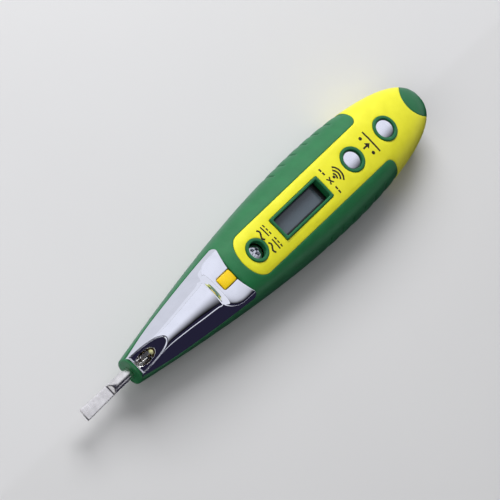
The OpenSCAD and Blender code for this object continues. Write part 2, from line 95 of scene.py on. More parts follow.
AXIS_Z = centre("blade_shaft")[2]
ANCHOR_WALL = 0.45
NOSE_X = corner("front_overmould", False)[0]
TAIL_X = corner("tail_cap", True)[0]
HALF_W = corner("front_overmould", True)[1]
CASE_TOP = corner("front_case", True)[2] - AXIS_Z
GRIP_END_X = corner("front_overmould", True)[0]
SHAFT_R = span("blade_anchor")[2] / 2 - ANCHOR_WALL

# Plan: the sides narrow from the widest place to the nose, and round off to the tail
WIDE_X = 29.0
PLAN_SLOPE = 0.199
PLAN_BEND = 11.2
TAIL_POWER = 0.37
TAIL_TOP_POWER = 0.28

# Section: depths from the centre line at the nose and at the widest place, and squareness
NOSE_TOP = 3.4
NOSE_BELLY = 2.4
BELLY = 8.4
TOP_POWER = 2.4
BELLY_POWER = 2.8
FLAT_BLEND = 0.5

# Shells, the panel between the grips, and the tail cap's round edge
SKIN_T = 0.9
SHELL_T = 2.0
PANEL_HALF_W = 6.3
PANEL_NOSE_X = -7.5
PANEL_NOSE_L = 4.8
GRIP_CORNER_R = 2.3
CAP_X = 66.8
CAP_R = 5.2
SEAM = 0.02

# Round edge of the nose, then a flat face in to the shaft
NOSE_R = 0.8
NOSE_FACE_L = 2.0
P_ROUND = NOSE_X + NOSE_R
P_FACE = P_ROUND - NOSE_R * math.pi / 2
P_HOLE = P_FACE - NOSE_FACE_L
TAIL_L = TAIL_X - WIDE_X
P_TAIL = WIDE_X + TAIL_L * math.pi / 2
ROUND_R = 9.7
U_MAX = ROUND_R * math.pi / 2


def half_width(x):
    """Half width of the case at x, seen from above."""
    x = np.asarray(x, float)
    front = HALF_W - (np.hypot(PLAN_BEND, PLAN_SLOPE * (WIDE_X - x)) - PLAN_BEND)
    t = np.clip((x - WIDE_X) / TAIL_L, 0, 1)
    return np.where(x < WIDE_X, front, HALF_W * (1 - t * t) ** TAIL_POWER)


def height(x, top):
    """Height of the case top above the centre line, or depth of its belly."""
    x = np.asarray(x, float)
    nose, full = (NOSE_TOP, CASE_TOP) if top else (NOSE_BELLY, BELLY)
    front = nose + (full - nose) * (1 - ((WIDE_X - x) / (WIDE_X - NOSE_X)) ** 2)
    t = np.clip((x - WIDE_X) / TAIL_L, 0, 1)
    power = TAIL_TOP_POWER if top else TAIL_POWER
    return np.where(x < WIDE_X, front, full * (1 - t * t) ** power)


def smooth_min(a, b, k):
    """The lesser of two values, with a soft change between them over a width k."""
    h = np.clip(0.5 + 0.5 * (b - a) / k, 0, 1)
    return b + (a - b) * h - k * h * (1 - h)


def along_to_x(p):
    """Place along the pen of case coordinate p, which keeps its pace round both ends."""
    p = np.asarray(p, float)
    turn = np.clip((P_ROUND - p) / NOSE_R, 0, math.pi / 2)
    tail = np.clip((p - WIDE_X) / TAIL_L, 0, math.pi / 2)
    x = np.where(p > WIDE_X, WIDE_X + TAIL_L * np.sin(tail), p)
    return np.where(p < P_ROUND, P_ROUND - NOSE_R * np.sin(turn), x)


def x_to_along(x):
    """Case coordinate p of a place along the pen, behind the nose's round edge."""
    x = np.asarray(x, float)
    tail = np.arcsin(np.clip((x - WIDE_X) / TAIL_L, 0, 1))
    return np.where(x > WIDE_X, WIDE_X + TAIL_L * tail, x)


def squared(c, power):
    """Cosine or sine turned into a side of a super-ellipse."""
    return np.sign(c) * np.abs(c) ** (2 / power)


def case_point(p, u, top):
    """Point of the case surface. u runs round from one side seam to the other."""
    x = along_to_x(p)
    xs = np.maximum(x, P_ROUND)
    w, h = half_width(xs), height(xs, top)
    turn = np.clip((P_ROUND - p) / NOSE_R, 0, math.pi / 2)
    inset = NOSE_R * (1 - np.cos(turn))
    face = np.clip((P_FACE - p) / NOSE_FACE_L, 0, 1)
    w = (w - inset) * (1 - face) + SHAFT_R * face
    h = (h - inset) * (1 - face) + SHAFT_R * face
    power = (TOP_POWER if top else BELLY_POWER) * (1 - face) + 2 * face
    around = np.clip(u / ROUND_R, -math.pi / 2, math.pi / 2)
    y = w * squared(np.sin(around), power)
    z = h * squared(np.cos(around), power)
    if not top:
        z = -smooth_min(z, AXIS_Z, FLAT_BLEND)
    return stack(x, y, z + AXIS_Z)


def case_around(x, y, top):
    """Case coordinate u of a plan point."""
    power = TOP_POWER if top else BELLY_POWER
    share = np.clip(np.abs(y) / half_width(x), 0, 1) ** (power / 2)
    return ROUND_R * np.arcsin(share) * np.sign(y)


def case_top_z(x, y):
    """Height of the case top at a plan point."""
    share = np.clip(np.abs(y) / half_width(x), 0, 1) ** TOP_POWER
    return AXIS_Z + height(x, True) * (1 - share) ** (1 / TOP_POWER)


# ---- meshes ----

MATERIALS = {}
SHARP_DEG = 35


def new_piece(name, solid, material, slot=None, body="root", nodes=(), follow=None):
    """Object from points in millimetres, riding on a body and standing for CAD nodes.
    With follow, it is left in place and joins no body; the body and two heights it holds are not read."""
    verts, faces = solid
    slot = slot or material
    mesh = bpy.data.meshes.new(name)
    mesh.from_pydata([tuple(v) for v in np.asarray(verts, float) * MM], [], faces)
    mesh.validate()
    mesh.shade_smooth()
    mesh.set_sharp_from_angle(angle=math.radians(SHARP_DEG))
    mesh.materials.append(MATERIALS[material])
    obj = placed(name, mesh)
    if follow:
        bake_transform(obj)
    else:
        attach(obj, body)
    if nodes:
        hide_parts(*nodes)
    return obj


def joined(parts):
    """One list of points and faces from several."""
    verts, faces = [], []
    for v, f in parts:
        n = sum(len(k) for k in verts)
        verts.append(np.asarray(v, float))
        faces += [[i + n for i in face] for face in f]
    return np.concatenate(verts), faces


def rings_mesh(rings, closed=False):
    """Closed skin through rings of equal length, with a face at each end."""
    n, m = len(rings), len(rings[0])
    verts = np.concatenate([np.asarray(r, float) for r in rings])
    faces = []
    for i in range(n if closed else n - 1):
        a, b = i * m, (i + 1) % n * m
        faces += [[a + k, a + (k + 1) % m, b + (k + 1) % m, b + k] for k in range(m)]
    if not closed:
        faces.append(list(range(m - 1, -1, -1)))
        faces.append([(n - 1) * m + k for k in range(m)])
    return verts, faces


def arc(cx, cy, r, a0, a1, n):
    """Points of an arc between two angles in degrees."""
    a = np.radians(np.linspace(a0, a1, n))
    return stack(cx + r * np.cos(a), cy + r * np.sin(a))


def lathe(profile, segments=64, about=(0, 0, 0)):
    """Solid of revolution about Z through a point, from an outline of [r, z] points.
    An outline that starts and ends on the axis is capped there; any other is a ring."""
    profile = np.asarray(profile, float)
    solid = profile[0][0] == 0
    inner = profile[1:-1] if solid else profile
    turn = full_turn(segments)
    rings = [stack(r * np.cos(turn), r * np.sin(turn), z) for r, z in inner]
    verts, faces = rings_mesh(rings, closed=not solid)
    if solid:
        faces = faces[:-2]
        low, high = len(verts), len(verts) + 1
        ends = [[0, 0, profile[0][1]], [0, 0, profile[-1][1]]]
        verts = np.concatenate([verts, ends])
        last = (len(rings) - 1) * segments
        for k in range(segments):
            nxt = (k + 1) % segments
            faces.append([low, nxt, k])
            faces.append([high, last + k, last + nxt])
    return verts + np.asarray(about, float), faces


def rounded(profile, radius, steps=4):
    """Outline with each corner of a list [r, z, round?] turned into an arc."""
    out = []
    n = len(profile)
    for i, (x, y, soft) in enumerate(profile):
        here = np.array([x, y], float)
        if not soft:
            out.append(here)
            continue
        before = np.array(profile[(i - 1) % n][:2], float) - here
        after = np.array(profile[(i + 1) % n][:2], float) - here
        cut = min(radius, np.linalg.norm(before) * 0.45, np.linalg.norm(after) * 0.45)
        a = here + before / np.linalg.norm(before) * cut
        b = here + after / np.linalg.norm(after) * cut
        for t in np.linspace(0, 1, steps + 1):
            out.append((1 - t) ** 2 * a + 2 * t * (1 - t) * here + t * t * b)
    return np.array(out)


# ---- plates: the part of a surface inside an outline, with rounded lips ----


def resample(loop, step):
    """Closed outline with points at most step apart, keeping its corners."""
    out = []
    for a, b in zip(loop, np.roll(loop, -1, 0)):
        n = max(1, int(math.ceil(np.linalg.norm(b - a) / step)))
        out += [a + (b - a) * k / n for k in range(n)]
    return np.array(out)


def area_of(loop):
    """Area inside an outline, which is negative when it runs clockwise."""
    nxt = np.roll(loop, -1, 0)
    return (loop[:, 0] * nxt[:, 1] - nxt[:, 0] * loop[:, 1]).sum() / 2


def inside(points, loop):
    """Which points an outline goes round."""
    a, b = loop, np.roll(loop, -1, 0)
    px, py = points[:, :1], points[:, 1:]
    cross = (a[:, 1] > py) != (b[:, 1] > py)
    rise = np.where(b[:, 1] == a[:, 1], 1e-12, b[:, 1] - a[:, 1])
    at = a[:, 0] + (py - a[:, 1]) / rise * (b[:, 0] - a[:, 0])
    return (cross & (px < at)).sum(1) % 2 == 1


# Small step, in surface coordinates, for slopes
NUDGE = 0.03
# Shares of a lip's width at which it gets a ring of points
LIP_SHARES = [0, 0.12, 0.4, 1.0]
# Points compared at a time, to spare memory
CHUNK = 500
# In grid steps: the pitch of a plate's rows, and how near its rim a point may lie
ROW_PITCH = 0.87
RIM_CLEAR = 0.45


def shifted(surface, loop, distance):
    """Outline moved to its left by a distance measured on the surface."""
    ahead = np.roll(loop, -1, 0) - loop
    behind = loop - np.roll(loop, 1, 0)
    ahead /= np.linalg.norm(ahead, axis=1)[:, None]
    behind /= np.linalg.norm(behind, axis=1)[:, None]
    t = ahead + behind
    t /= np.maximum(np.linalg.norm(t, axis=1), 1e-9)[:, None]
    normal = stack(-t[:, 1], t[:, 0])
    moved = loop + normal * NUDGE
    scale = np.linalg.norm(surface(*moved.T) - surface(*loop.T), axis=1) / NUDGE
    mitre = np.clip((t * ahead).sum(1), 0.6, 1)
    return loop + normal * (distance / np.maximum(scale, 0.05) / mitre)[:, None]


def crowded(points, others, distance):
    """Which points lie within a distance of any of the others."""
    close = np.zeros(len(points), bool)
    for start in range(0, len(points), CHUNK):
        part = points[start:start + CHUNK]
        gap = ((part[:, None] - others[None]) ** 2).sum(2).min(1)
        close[start:start + CHUNK] = gap < distance ** 2
    return close


def surface_normals(surface, pts, limits, outward):
    """Unit normals of a surface, with slopes taken inside its limits."""
    (p0, p1), (u0, u1) = limits
    p, u = pts[:, 0], pts[:, 1]
    dp = surface(np.minimum(p + NUDGE, p1), u) - surface(np.maximum(p - NUDGE, p0), u)
    du = surface(p, np.minimum(u + NUDGE, u1)) - surface(p, np.maximum(u - NUDGE, u0))
    n = np.cross(dp, du) * outward
    return n / np.maximum(np.linalg.norm(n, axis=1), 1e-12)[:, None]


def rim_rings(surface, loop, lip):
    """Rings of points from an outline in over its rounded lip, and how far each is sunk."""
    shares = LIP_SHARES if lip else [0]
    rings = [shifted(surface, loop, lip * share) if share else loop for share in shares]
    sinks = [np.full(len(loop), lip - lip * math.sqrt(1 - (1 - share) ** 2))
             for share in shares]
    return rings, sinks


def staggered_grid(low, high, step):
    """Points of a triangular grid over a box, for the middle of a plate."""
    rows = []
    for i, v in enumerate(np.arange(low[1] + step / 2, high[1], step * ROW_PITCH)):
        along = np.arange(low[0] + step * (0.25 + 0.5 * (i % 2)), high[0], step)
        rows.append(stack(along, v))
    return np.concatenate(rows)


def inside_all(points, loops):
    """Which points lie in the first outline and in none of the others."""
    keep = inside(points, loops[0])
    for hole in loops[1:]:
        keep &= ~inside(points, hole)
    return keep


def plate(surface, outer, holes=(), limits=((-1e3, 1e3), (-1e3, 1e3)), step=0.8, lip=0.15,
          depth=1.0, down=False, outward=1, extra=None, relief=None, edge_step=None):
    """Points and faces of a closed plate. Outlines are in surface coordinates.
    lip is the radius of its rounded edges, depth its thickness, and down drops its
    walls straight down. extra adds mesh points, and relief(points) sinks the surface
    along its normal."""
    loops = []
    for loop, ccw in [(outer, True)] + [(h, False) for h in holes]:
        loop = resample(np.asarray(loop, float), edge_step or step * 0.6)
        if (area_of(loop) > 0) != ccw:
            loop = loop[::-1].copy()
        loops.append(loop)
    pts, sink, edges = [], [], []
    for loop in loops:
        rings, sinks = rim_rings(surface, loop, lip)
        for ring in rings:
            n0 = sum(len(k) for k in pts)
            m = len(ring)
            pts.append(ring)
            edges += [(n0 + k, n0 + (k + 1) % m) for k in range(m)]
        sink += sinks
    rim = np.concatenate(pts)
    grid = staggered_grid(loops[0].min(0), loops[0].max(0), step)
    if extra is not None:
        grid = np.concatenate([grid[~crowded(grid, extra, step)], extra])
    grid = grid[inside_all(grid, loops)]
    grid = grid[~crowded(grid, rim, min(RIM_CLEAR * step, edge_step or step))]
    pts = np.concatenate([rim, grid])
    sink = np.concatenate(sink + [np.zeros(len(grid))])
    made = geometry.delaunay_2d_cdt([Vector(v) for v in pts], edges, [], 0, 1e-7)
    source = [s[0] if s else -1 for s in made[3]]
    pts = np.array([list(v) for v in made[0]])
    sink = np.array([sink[s] if s >= 0 else 0.0 for s in source])
    tris = np.array([t for t in made[2] if len(t) == 3])
    tris = tris[inside_all(pts[tris].mean(1), loops)]
    used = np.unique(tris)
    lookup = np.full(len(pts), -1)
    lookup[used] = np.arange(len(used))
    tris, pts, sink = lookup[tris], pts[used], sink[used]
    normal = surface_normals(surface, pts, limits, outward)
    base = surface(*pts.T)
    if relief is not None:
        sink = sink + relief(base)
    n = len(pts)
    top = base - normal * sink[:, None]
    back = base - (np.array([0, 0, depth]) if down else normal * depth)
    a, b, c = tris.T
    turned = np.cross(top[b] - top[a], top[c] - top[a])
    flip = (turned * normal[a]).sum(1) < 0
    tris[flip] = tris[flip][:, ::-1]
    faces = [list(t) for t in tris] + [[t[2] + n, t[1] + n, t[0] + n] for t in tris]
    # an edge with a triangle on one side only gets a wall
    sides = {(t[i], t[(i + 1) % 3]): True for t in tris for i in range(3)}
    for i, j in sides:
        if (j, i) not in sides:
            faces.append([j, i, i + n, j + n])
    return np.concatenate([top, back]), [[int(i) for i in f] for f in faces]


def crowned(x0, y0, z0, half_l, half_w, rise):
    """Flat surface at z0 that bulges by rise in its middle."""
    def surface(x, y):
        x, y = np.asarray(x, float), np.asarray(y, float)
        lift = 1 - ((x - x0) / half_l) ** 2 - ((y - y0) / half_w) ** 2
        return stack(x, y, z0 - rise + rise * np.clip(lift, -1, 1))
    return surface


def flat_plate(z, outer, depth=1.0, lip=0.1, step=0.6):
    """Plate whose top is flat at height z."""
    return plate(crowned(0, 0, z, 1, 1, 0), outer, step=step, lip=lip, depth=depth, down=True)


def half_case(top):
    """Surface, limits and outward sign of the upper or the lower case half."""
    return {
        "surface": lambda p, u: case_point(p, u, top),
        "limits": ((P_HOLE, P_TAIL), (-U_MAX, U_MAX)),
        "outward": 1 if top else -1,
    }


def plan_loop(points, top):
    """Plan outline turned into case coordinates."""
    x, y = np.asarray(points, float).T
    return stack(x_to_along(x), case_around(x, y, top))


# ---- outlines of the case pieces ----


def panel_side(grow, top, side):
    """Edge between panel and grip, from the panel's front to the side seam."""
    cx = PANEL_NOSE_X + PANEL_NOSE_L
    t = np.radians(np.linspace(180, 90, 24))
    front = stack(cx + (PANEL_NOSE_L + grow) * np.cos(t), (PANEL_HALF_W + grow) * np.sin(t))
    r = GRIP_CORNER_R - grow
    bend = arc(GRIP_END_X - GRIP_CORNER_R, PANEL_HALF_W + GRIP_CORNER_R, r, -90, 0, 12)
    straight = np.linspace(front[-1], bend[0], 40)[1:-1]
    edge = plan_loop(np.concatenate([front, straight, bend]) * [1, side], top)
    seam = [[x_to_along(GRIP_END_X - grow), side * U_MAX]]
    return np.concatenate([edge, seam])


def cap_edge(grow, top):
    """Round front edge of the tail cap, from one side seam to the other."""
    r = CAP_R + grow
    # shrinking steps find the angle where the round edge meets the case's side
    start = math.pi / 2
    for count in range(60):
        x, y = CAP_X + r * math.cos(start), r * math.sin(start)
        start += 0.02 * (1 if y > half_width(x) else -1) / (1 + count / 6)
    t = np.linspace(start, 2 * math.pi - start, 48)
    loop = plan_loop(stack(CAP_X + r * np.cos(t), r * np.sin(t)), top)
    loop[0, 1], loop[-1, 1] = U_MAX, -U_MAX
    return loop


def yellow_outline(top):
    """Outline of a yellow shell, from the panel's front to the tail cap."""
    right = panel_side(-SEAM, top, -1)
    left = panel_side(-SEAM, top, 1)
    cap = cap_edge(SEAM, top)
    return np.concatenate([right, cap[::-1], left[::-1][:-1]])


def green_outline(top):
    """Outline of a grip, from the nose's hole round the panel."""
    right = panel_side(SEAM, top, -1)
    left = panel_side(SEAM, top, 1)
    nose = np.array([[P_HOLE, -U_MAX], [P_HOLE, U_MAX]])
    return np.concatenate([right[::-1], left[1:], nose[::-1]])


def circle(x, y, r, n=48):
    """Plan outline of a circle."""
    return arc(x, y, r, 0, 360, n + 1)[:-1]


def bar(x, y, length, width, r, n=6):
    """Plan outline of a rectangle with round corners."""
    lx, ly = length / 2 - r, width / 2 - r
    corners = [(lx, ly, 0), (-lx, ly, 90), (-lx, -ly, 180), (lx, -ly, 270)]
    return np.concatenate([arc(x + cx, y + cy, r, a, a + 90, n) for cx, cy, a in corners])


# ---- hood ----

HOOD_FRONT_X = corner("lamp_hood", False)[0]
HOOD_CORNER_X = corner("lamp_hood", True)[0]
FACET_END_X = -39.0
FACET_HALF_W = 2.85
FOOT_Z = 1.2
FOOT_SLOPE = 0.06
FOOT_INSET = 0.1
FRONT_INSET = 0.26
FRONT_INSET_X = -34.0
REAR_X = -11.5
REAR_R = 17.0
REAR_CORNER_R = 1.5
HOOD_T = 0.8
CREASE_SOFT = 0.13
SIDE_SWELL = 0.25

# Sections: x, crease half width, crease drop, ridge height, crown power
HOOD_SECTIONS = np.array([
    [-52.0, 2.4, 0.35, 5.2, 2],
    [-49.65, 2.35, 0.36, 5.4, 2],
    [-44.0, 2.2, 0.42, 6.0, 2],
    [-39.0, 2.1, 0.45, 6.6, 2],
    [-33.0, 2.5, 0.50, 7.35, 2],
    [-27.0, 3.1, 0.60, 7.9, 2],
    [-22.0, 3.55, 0.55, 8.17, 2],
    [-21.3, 3.75, 0.55, 8.13, 2],
    [-20.2, 4.2, 0.45, 7.49, 2.4],
    [-18.9, 4.95, 0.40, 6.745, 3],
    [-17.6, 5.85, 0.35, 6.22, 4],
    [-16.0, 6.7, 0.3, 6.00, 5],
    [-14.0, 7.05, 0.25, 5.95, 5],
    [-11.5, 7.1, 0.3, 6.08, 5],
    [-7.0, 7.0, 0.5, 6.35, 4],
])


def eased(x, table, column):
    """Smooth curve through a column of a table, with no overshoot between its rows."""
    xs, ys = table[:, 0], table[:, column]
    h = np.diff(xs)
    d = np.diff(ys) / h
    m = np.zeros(len(xs))
    same = d[:-1] * d[1:] > 0
    w1, w2 = 2 * h[1:] + h[:-1], h[1:] + 2 * h[:-1]
    inner = np.zeros(len(d) - 1)
    inner[same] = ((w1 + w2)[same]) / (w1[same] / d[:-1][same] + w2[same] / d[1:][same])
    m[1:-1], m[0], m[-1] = inner, d[0], d[-1]
    i = np.clip(np.searchsorted(xs, x) - 1, 0, len(h) - 1)
    t = (x - xs[i]) / h[i]
    h00, h10 = (1 + 2 * t) * (1 - t) ** 2, t * (1 - t) ** 2
    h01, h11 = t * t * (3 - 2 * t), t * t * (t - 1)
    return h00 * ys[i] + h10 * h[i] * m[i] + h01 * ys[i + 1] + h11 * h[i] * m[i + 1]


def foot_z(x):
    """Height of the hood's lower edge above the centre line."""
    return FOOT_Z + FOOT_SLOPE * (x - HOOD_FRONT_X)


def foot_half(x):
    """Half width of the hood at its lower edge, just inside the case."""
    share = np.clip(foot_z(x) / height(x, True), 0, 1) ** TOP_POWER
    near = np.clip((FRONT_INSET_X - x) / (FRONT_INSET_X - HOOD_FRONT_X), 0, 1)
    draw_in = FOOT_INSET + FRONT_INSET * near ** 2
    return half_width(x) * (1 - share) ** (1 / TOP_POWER) - draw_in


def hood_point(x, v):
    """Point of the hood. v is 0 on the ridge, 10 at the crease and 20 at the foot."""
    x, v = np.asarray(x, float), np.asarray(v, float)
    crease, drop, ridge, power = [eased(x, HOOD_SECTIONS, k) for k in (1, 2, 3, 4)]
    foot, low = foot_half(x), foot_z(x)
    s = np.abs(v) / 10
    soft = CREASE_SOFT
    top_y = crease * np.minimum(s, 1)
    top_z = ridge - drop * np.minimum(s, 1) ** power
    t = np.clip(s - 1, 0, 1)
    side_y = crease + (foot - crease) * t
    side_z = (ridge - drop) + (low - ridge + drop) * t + SIDE_SWELL * np.sin(math.pi * t)
    blend = np.clip((s - 1 + soft) / (2 * soft), 0, 1)
    # a quadratic bend joins top and side across the crease
    y = np.where(s < 1, top_y, side_y)
    z = np.where(s < 1, top_z, side_z)
    ya, yb = crease * (1 - soft), crease + (foot - crease) * soft
    za = ridge - drop * (1 - soft) ** power
    zb = (ridge - drop) * (1 - soft) + low * soft + SIDE_SWELL * math.sin(math.pi * soft)
    bend_y = (1 - blend) ** 2 * ya + 2 * blend * (1 - blend) * crease + blend ** 2 * yb
    bend_z = (1 - blend) ** 2 * za + 2 * blend * (1 - blend) * (ridge - drop) + blend ** 2 * zb
    near = np.abs(s - 1) < soft
    y, z = np.where(near, bend_y, y), np.where(near, bend_z, z)
    return stack(x, y * np.sign(v), z + AXIS_Z)


def hood_across(x, y):
    """Hood coordinate v of a plan point."""
    crease, foot = eased(x, HOOD_SECTIONS, 1), foot_half(x)
    a = np.abs(y)
    s = np.where(a < crease, a / crease, 1 + (a - crease) / np.maximum(foot - crease, 1e-6))
    return 10 * np.clip(s, 0, 2) * np.sign(y)


def hood_loop(points):
    """Plan outline turned into hood coordinates."""
    x, y = np.asarray(points, float).T
    return stack(x, hood_across(x, y))


def rear_line(y, grow=0.0):
    """The hood's hollow rear edge: its x at a plan distance from the middle."""
    r = REAR_R - grow
    return REAR_X + REAR_R - np.sqrt(r * r - np.minimum(np.abs(y), r - 0.1) ** 2)


def hood_plan_rear(grow, stop):
    """Rear edge from the foot at one side in to |y| = stop, in the half y > 0."""
    y0 = foot_half(HOOD_CORNER_X) + FOOT_INSET
    x0 = float(rear_line(y0, grow))
    r = REAR_CORNER_R
    foot = np.array([[x0 - r, float(foot_half(x0 - r)) + grow]])
    start = np.array([float(rear_line(y0 - r, grow)), y0 - r])
    corner_pt = np.array([x0, y0 + grow])
    t = np.linspace(0, 1, 8)[:, None]
    bend = (1 - t) ** 2 * foot[0] + 2 * t * (1 - t) * corner_pt + t * t * start
    ys = np.linspace(y0 - r, stop, 16)[1:]
    return np.concatenate([bend, stack(rear_line(ys, grow), ys)])


# ---- materials ----


def link(tree, a, out, b, into):
    tree.links.new(a.outputs[out], b.inputs[into])


def put(node, **values):
    """Sets sockets of a shader node. A _ in a socket's name stands for a space."""
    for key, value in values.items():
        node.inputs[key.replace("_", " ")].default_value = value


def new_node(tree, kind, **values):
    node = tree.nodes.new("ShaderNode" + kind)
    put(node, **values)
    return node


def noise(tree, coord, scale, detail=4.0, stretch=None):
    """Noise over the piece's own coordinates."""
    source = coord
    if stretch:
        source = new_node(tree, "Mapping", Scale=stretch)
        link(tree, coord, "Object", source, "Vector")
    tex = new_node(tree, "TexNoise", Scale=scale, Detail=detail)
    link(tree, source, "Vector" if stretch else "Object", tex, "Vector")
    return tex


def finish_of(name, low, high, rough, metal=0.0, tint_scale=300.0, grain=None, wear_scale=900.0,
              stretch=None, **extra):
    """Procedural finish: two tones, a roughness range and a grain of [scale, depth in mm]."""
    mat = bpy.data.materials.new(name)
    mat.use_nodes = True
    tree = mat.node_tree
    bsdf = tree.nodes["Principled BSDF"]
    coord = new_node(tree, "TexCoord")
    tones = noise(tree, coord, tint_scale, stretch=stretch)
    ramp = new_node(tree, "ValToRGB")
    for stop, place, tone in zip(ramp.color_ramp.elements, (0.35, 0.65), (low, high)):
        stop.position = place
        stop.color = (*tone, 1)
    link(tree, tones, "Fac", ramp, "Fac")
    link(tree, ramp, "Color", bsdf, "Base Color")
    wear = noise(tree, coord, wear_scale, stretch=stretch)
    spread = new_node(tree, "MapRange", From_Min=0.3, From_Max=0.7, To_Min=rough[0],
                      To_Max=rough[1])
    link(tree, wear, "Fac", spread, "Value")
    link(tree, spread, "Result", bsdf, "Roughness")
    if grain:
        bumps = noise(tree, coord, grain[0], detail=3.0, stretch=stretch)
        bump = new_node(tree, "Bump", Strength=1.0, Distance=grain[1] * MM)
        link(tree, bumps, "Fac", bump, "Height")
        link(tree, bump, "Normal", bsdf, "Normal")
    put(bsdf, Metallic=metal, **extra)
    MATERIALS[name] = mat


finish_of("yellow_plastic", (0.75, 0.72, 0.014), (0.80, 0.77, 0.022), (0.34, 0.42),
          grain=(2500, 0.004))
finish_of("green_rubber", (0.007, 0.135, 0.038), (0.010, 0.155, 0.045), (0.36, 0.46),
          grain=(3500, 0.012), Specular_IOR_Level=0.7)
finish_of("green_plastic", (0.006, 0.115, 0.036), (0.009, 0.135, 0.044), (0.30, 0.38),
          grain=(2500, 0.004))
finish_of("button_yellow", (0.90, 0.60, 0.002), (0.95, 0.66, 0.004), (0.22, 0.30),
          grain=(2500, 0.003))
finish_of("chrome_plate", (0.86, 0.87, 0.89), (0.90, 0.91, 0.93), (0.03, 0.06), metal=1.0,
          grain=(260, 0.006))
finish_of("key_metal", (0.84, 0.85, 0.88), (0.90, 0.91, 0.93), (0.09, 0.15), metal=1.0,
          grain=(1800, 0.004))
finish_of("blade_steel", (0.82, 0.79, 0.73), (0.98, 0.95, 0.88), (0.22, 0.34), metal=1.0,
          grain=(2200, 0.010))
# painted shade: the screw's steel is toned darker than the keys' metal to stand for the shade in its
# recess
finish_of("screw_steel", (0.58, 0.59, 0.61), (0.74, 0.75, 0.78), (0.10, 0.18), metal=1.0,
          grain=(1500, 0.006))
finish_of("spring_steel", (0.50, 0.50, 0.52), (0.66, 0.66, 0.68), (0.20, 0.30), metal=1.0)
finish_of("display_glass", (0.085, 0.108, 0.135), (0.10, 0.125, 0.15), (0.10, 0.16),
          tint_scale=60.0)
finish_of("led_resin", (0.90, 0.90, 0.88), (0.96, 0.96, 0.95), (0.02, 0.05), IOR=1.04,
          Transmission_Weight=1.0, Coat_Weight=1.0, Coat_IOR=1.7, Coat_Roughness=0.03)
finish_of("contact_brass", (0.62, 0.46, 0.20), (0.74, 0.57, 0.28), (0.20, 0.30), metal=1.0)
finish_of("board_laminate", (0.010, 0.09, 0.035), (0.014, 0.12, 0.05), (0.30, 0.42),
          grain=(1200, 0.004))
finish_of("black_plastic", (0.012, 0.012, 0.013), (0.022, 0.022, 0.024), (0.34, 0.46),
          grain=(1800, 0.005))
finish_of("connector_rubber", (0.12, 0.12, 0.13), (0.30, 0.30, 0.32), (0.55, 0.70),
          stretch=(1.0, 0.05, 0.05))
finish_of("cell_steel", (0.60, 0.61, 0.62), (0.72, 0.73, 0.74), (0.18, 0.28), metal=1.0,
          grain=(700, 0.004))
finish_of("wire_red", (0.42, 0.02, 0.02), (0.50, 0.03, 0.02), (0.35, 0.45))
finish_of("wire_black", (0.012, 0.012, 0.012), (0.022, 0.022, 0.022), (0.35, 0.45))
finish_of("wire_blue", (0.02, 0.07, 0.42), (0.03, 0.09, 0.50), (0.35, 0.45))
finish_of("resistor_lacquer", (0.42, 0.30, 0.16), (0.52, 0.38, 0.21), (0.30, 0.40),
          tint_scale=500.0)
finish_of("lamp_cavity", (0.085, 0.055, 0.030), (0.13, 0.085, 0.045), (0.22, 0.34))
finish_of("sign_ink", (0.012, 0.007, 0.003), (0.018, 0.011, 0.005), (0.50, 0.60))
finish_of("led_phosphor", (0.60, 0.58, 0.26), (0.78, 0.76, 0.42), (0.30, 0.45), tint_scale=1500.0)


# ---- case and grip ----

SCREW_X, SCREW_RING_W = centre("screw_ring")[0], span("screw_ring")[0]
BEZEL_X, BEZEL_L, BEZEL_W = centre("lcd_bezel")[0], *span("lcd_bezel")[:2]
KEYS = {
    "induction_key": centre("induction_key_ring")[0],
    "direct_key": centre("direct_key_ring")[0],
}
KEY_RING_W = span("induction_key_ring")[0]
BEZEL_CORNER_R = 0.4
GAP = 0.03
CASE_LIP = 0.14
GRIP_EDGE_STEP = 0.22

# Nicks along the grip: scallops, each closed by a groove
NICKS = 7
NICK_FIRST_X = 19.0
NICK_PITCH = 4.6
SCALLOP_DEPTH = 0.26
SCALLOP_REACH = 1.6
SCALLOP_POWER = 2.6
GROOVE_DEPTH = 0.42
GROOVE_HALF_W = 0.24
GROOVE_REACH = 1.25
GROOVE_POWER = 3


def nicked(points):
    """Depth of the scallops along the grip's edges and of the grooves between them."""
    x, y = points[:, 0], points[:, 1]
    inward = np.maximum(half_width(x) - np.abs(y), 0)
    turn = (x - NICK_FIRST_X) / NICK_PITCH
    near = np.clip(np.round(turn), 0, NICKS - 1)
    off = np.abs(turn - near) * NICK_PITCH
    swell = np.clip(1 - off / (NICK_PITCH / 2), 0, 1) ** SCALLOP_POWER
    groove = np.exp(-(off / GROOVE_HALF_W) ** 2)
    scallop = SCALLOP_DEPTH * swell * np.clip(1 - inward / SCALLOP_REACH, 0, 1)
    fade = np.clip(1 - (inward / GROOVE_REACH) ** GROOVE_POWER, 0, 1)
    cut = GROOVE_DEPTH * groove * fade
    return scallop + cut


def nick_points():
    """Extra mesh points in case coordinates where the nicks need them."""
    last = NICK_FIRST_X + (NICKS - 1) * NICK_PITCH + 2
    xs = np.arange(NICK_FIRST_X - 2, min(last, GRIP_END_X - 0.3), 0.16)
    rows = U_MAX - np.arange(0.25, 6.4, 0.34)
    grid = np.array([[x, u] for x in xs for u in rows])
    return np.concatenate([grid, grid * [1, -1]])


def nose_points():
    """Extra mesh points in case coordinates round the nose's edge and over its face."""
    ps = np.arange(P_HOLE + 0.3, P_ROUND + 1.0, 0.2)
    us = np.arange(0.3 - U_MAX, U_MAX, 0.45)
    return np.array([[p, u] for p in ps for u in us])


def case_piece(name, outer, holes, top, material, nodes, depth, **more):
    """Shell or grip over the upper or the lower case half."""
    solid = plate(outer=outer, holes=holes, depth=depth, lip=CASE_LIP, step=1.0,
                  **half_case(top), **more)
    return new_piece(name, solid, material, nodes=nodes)


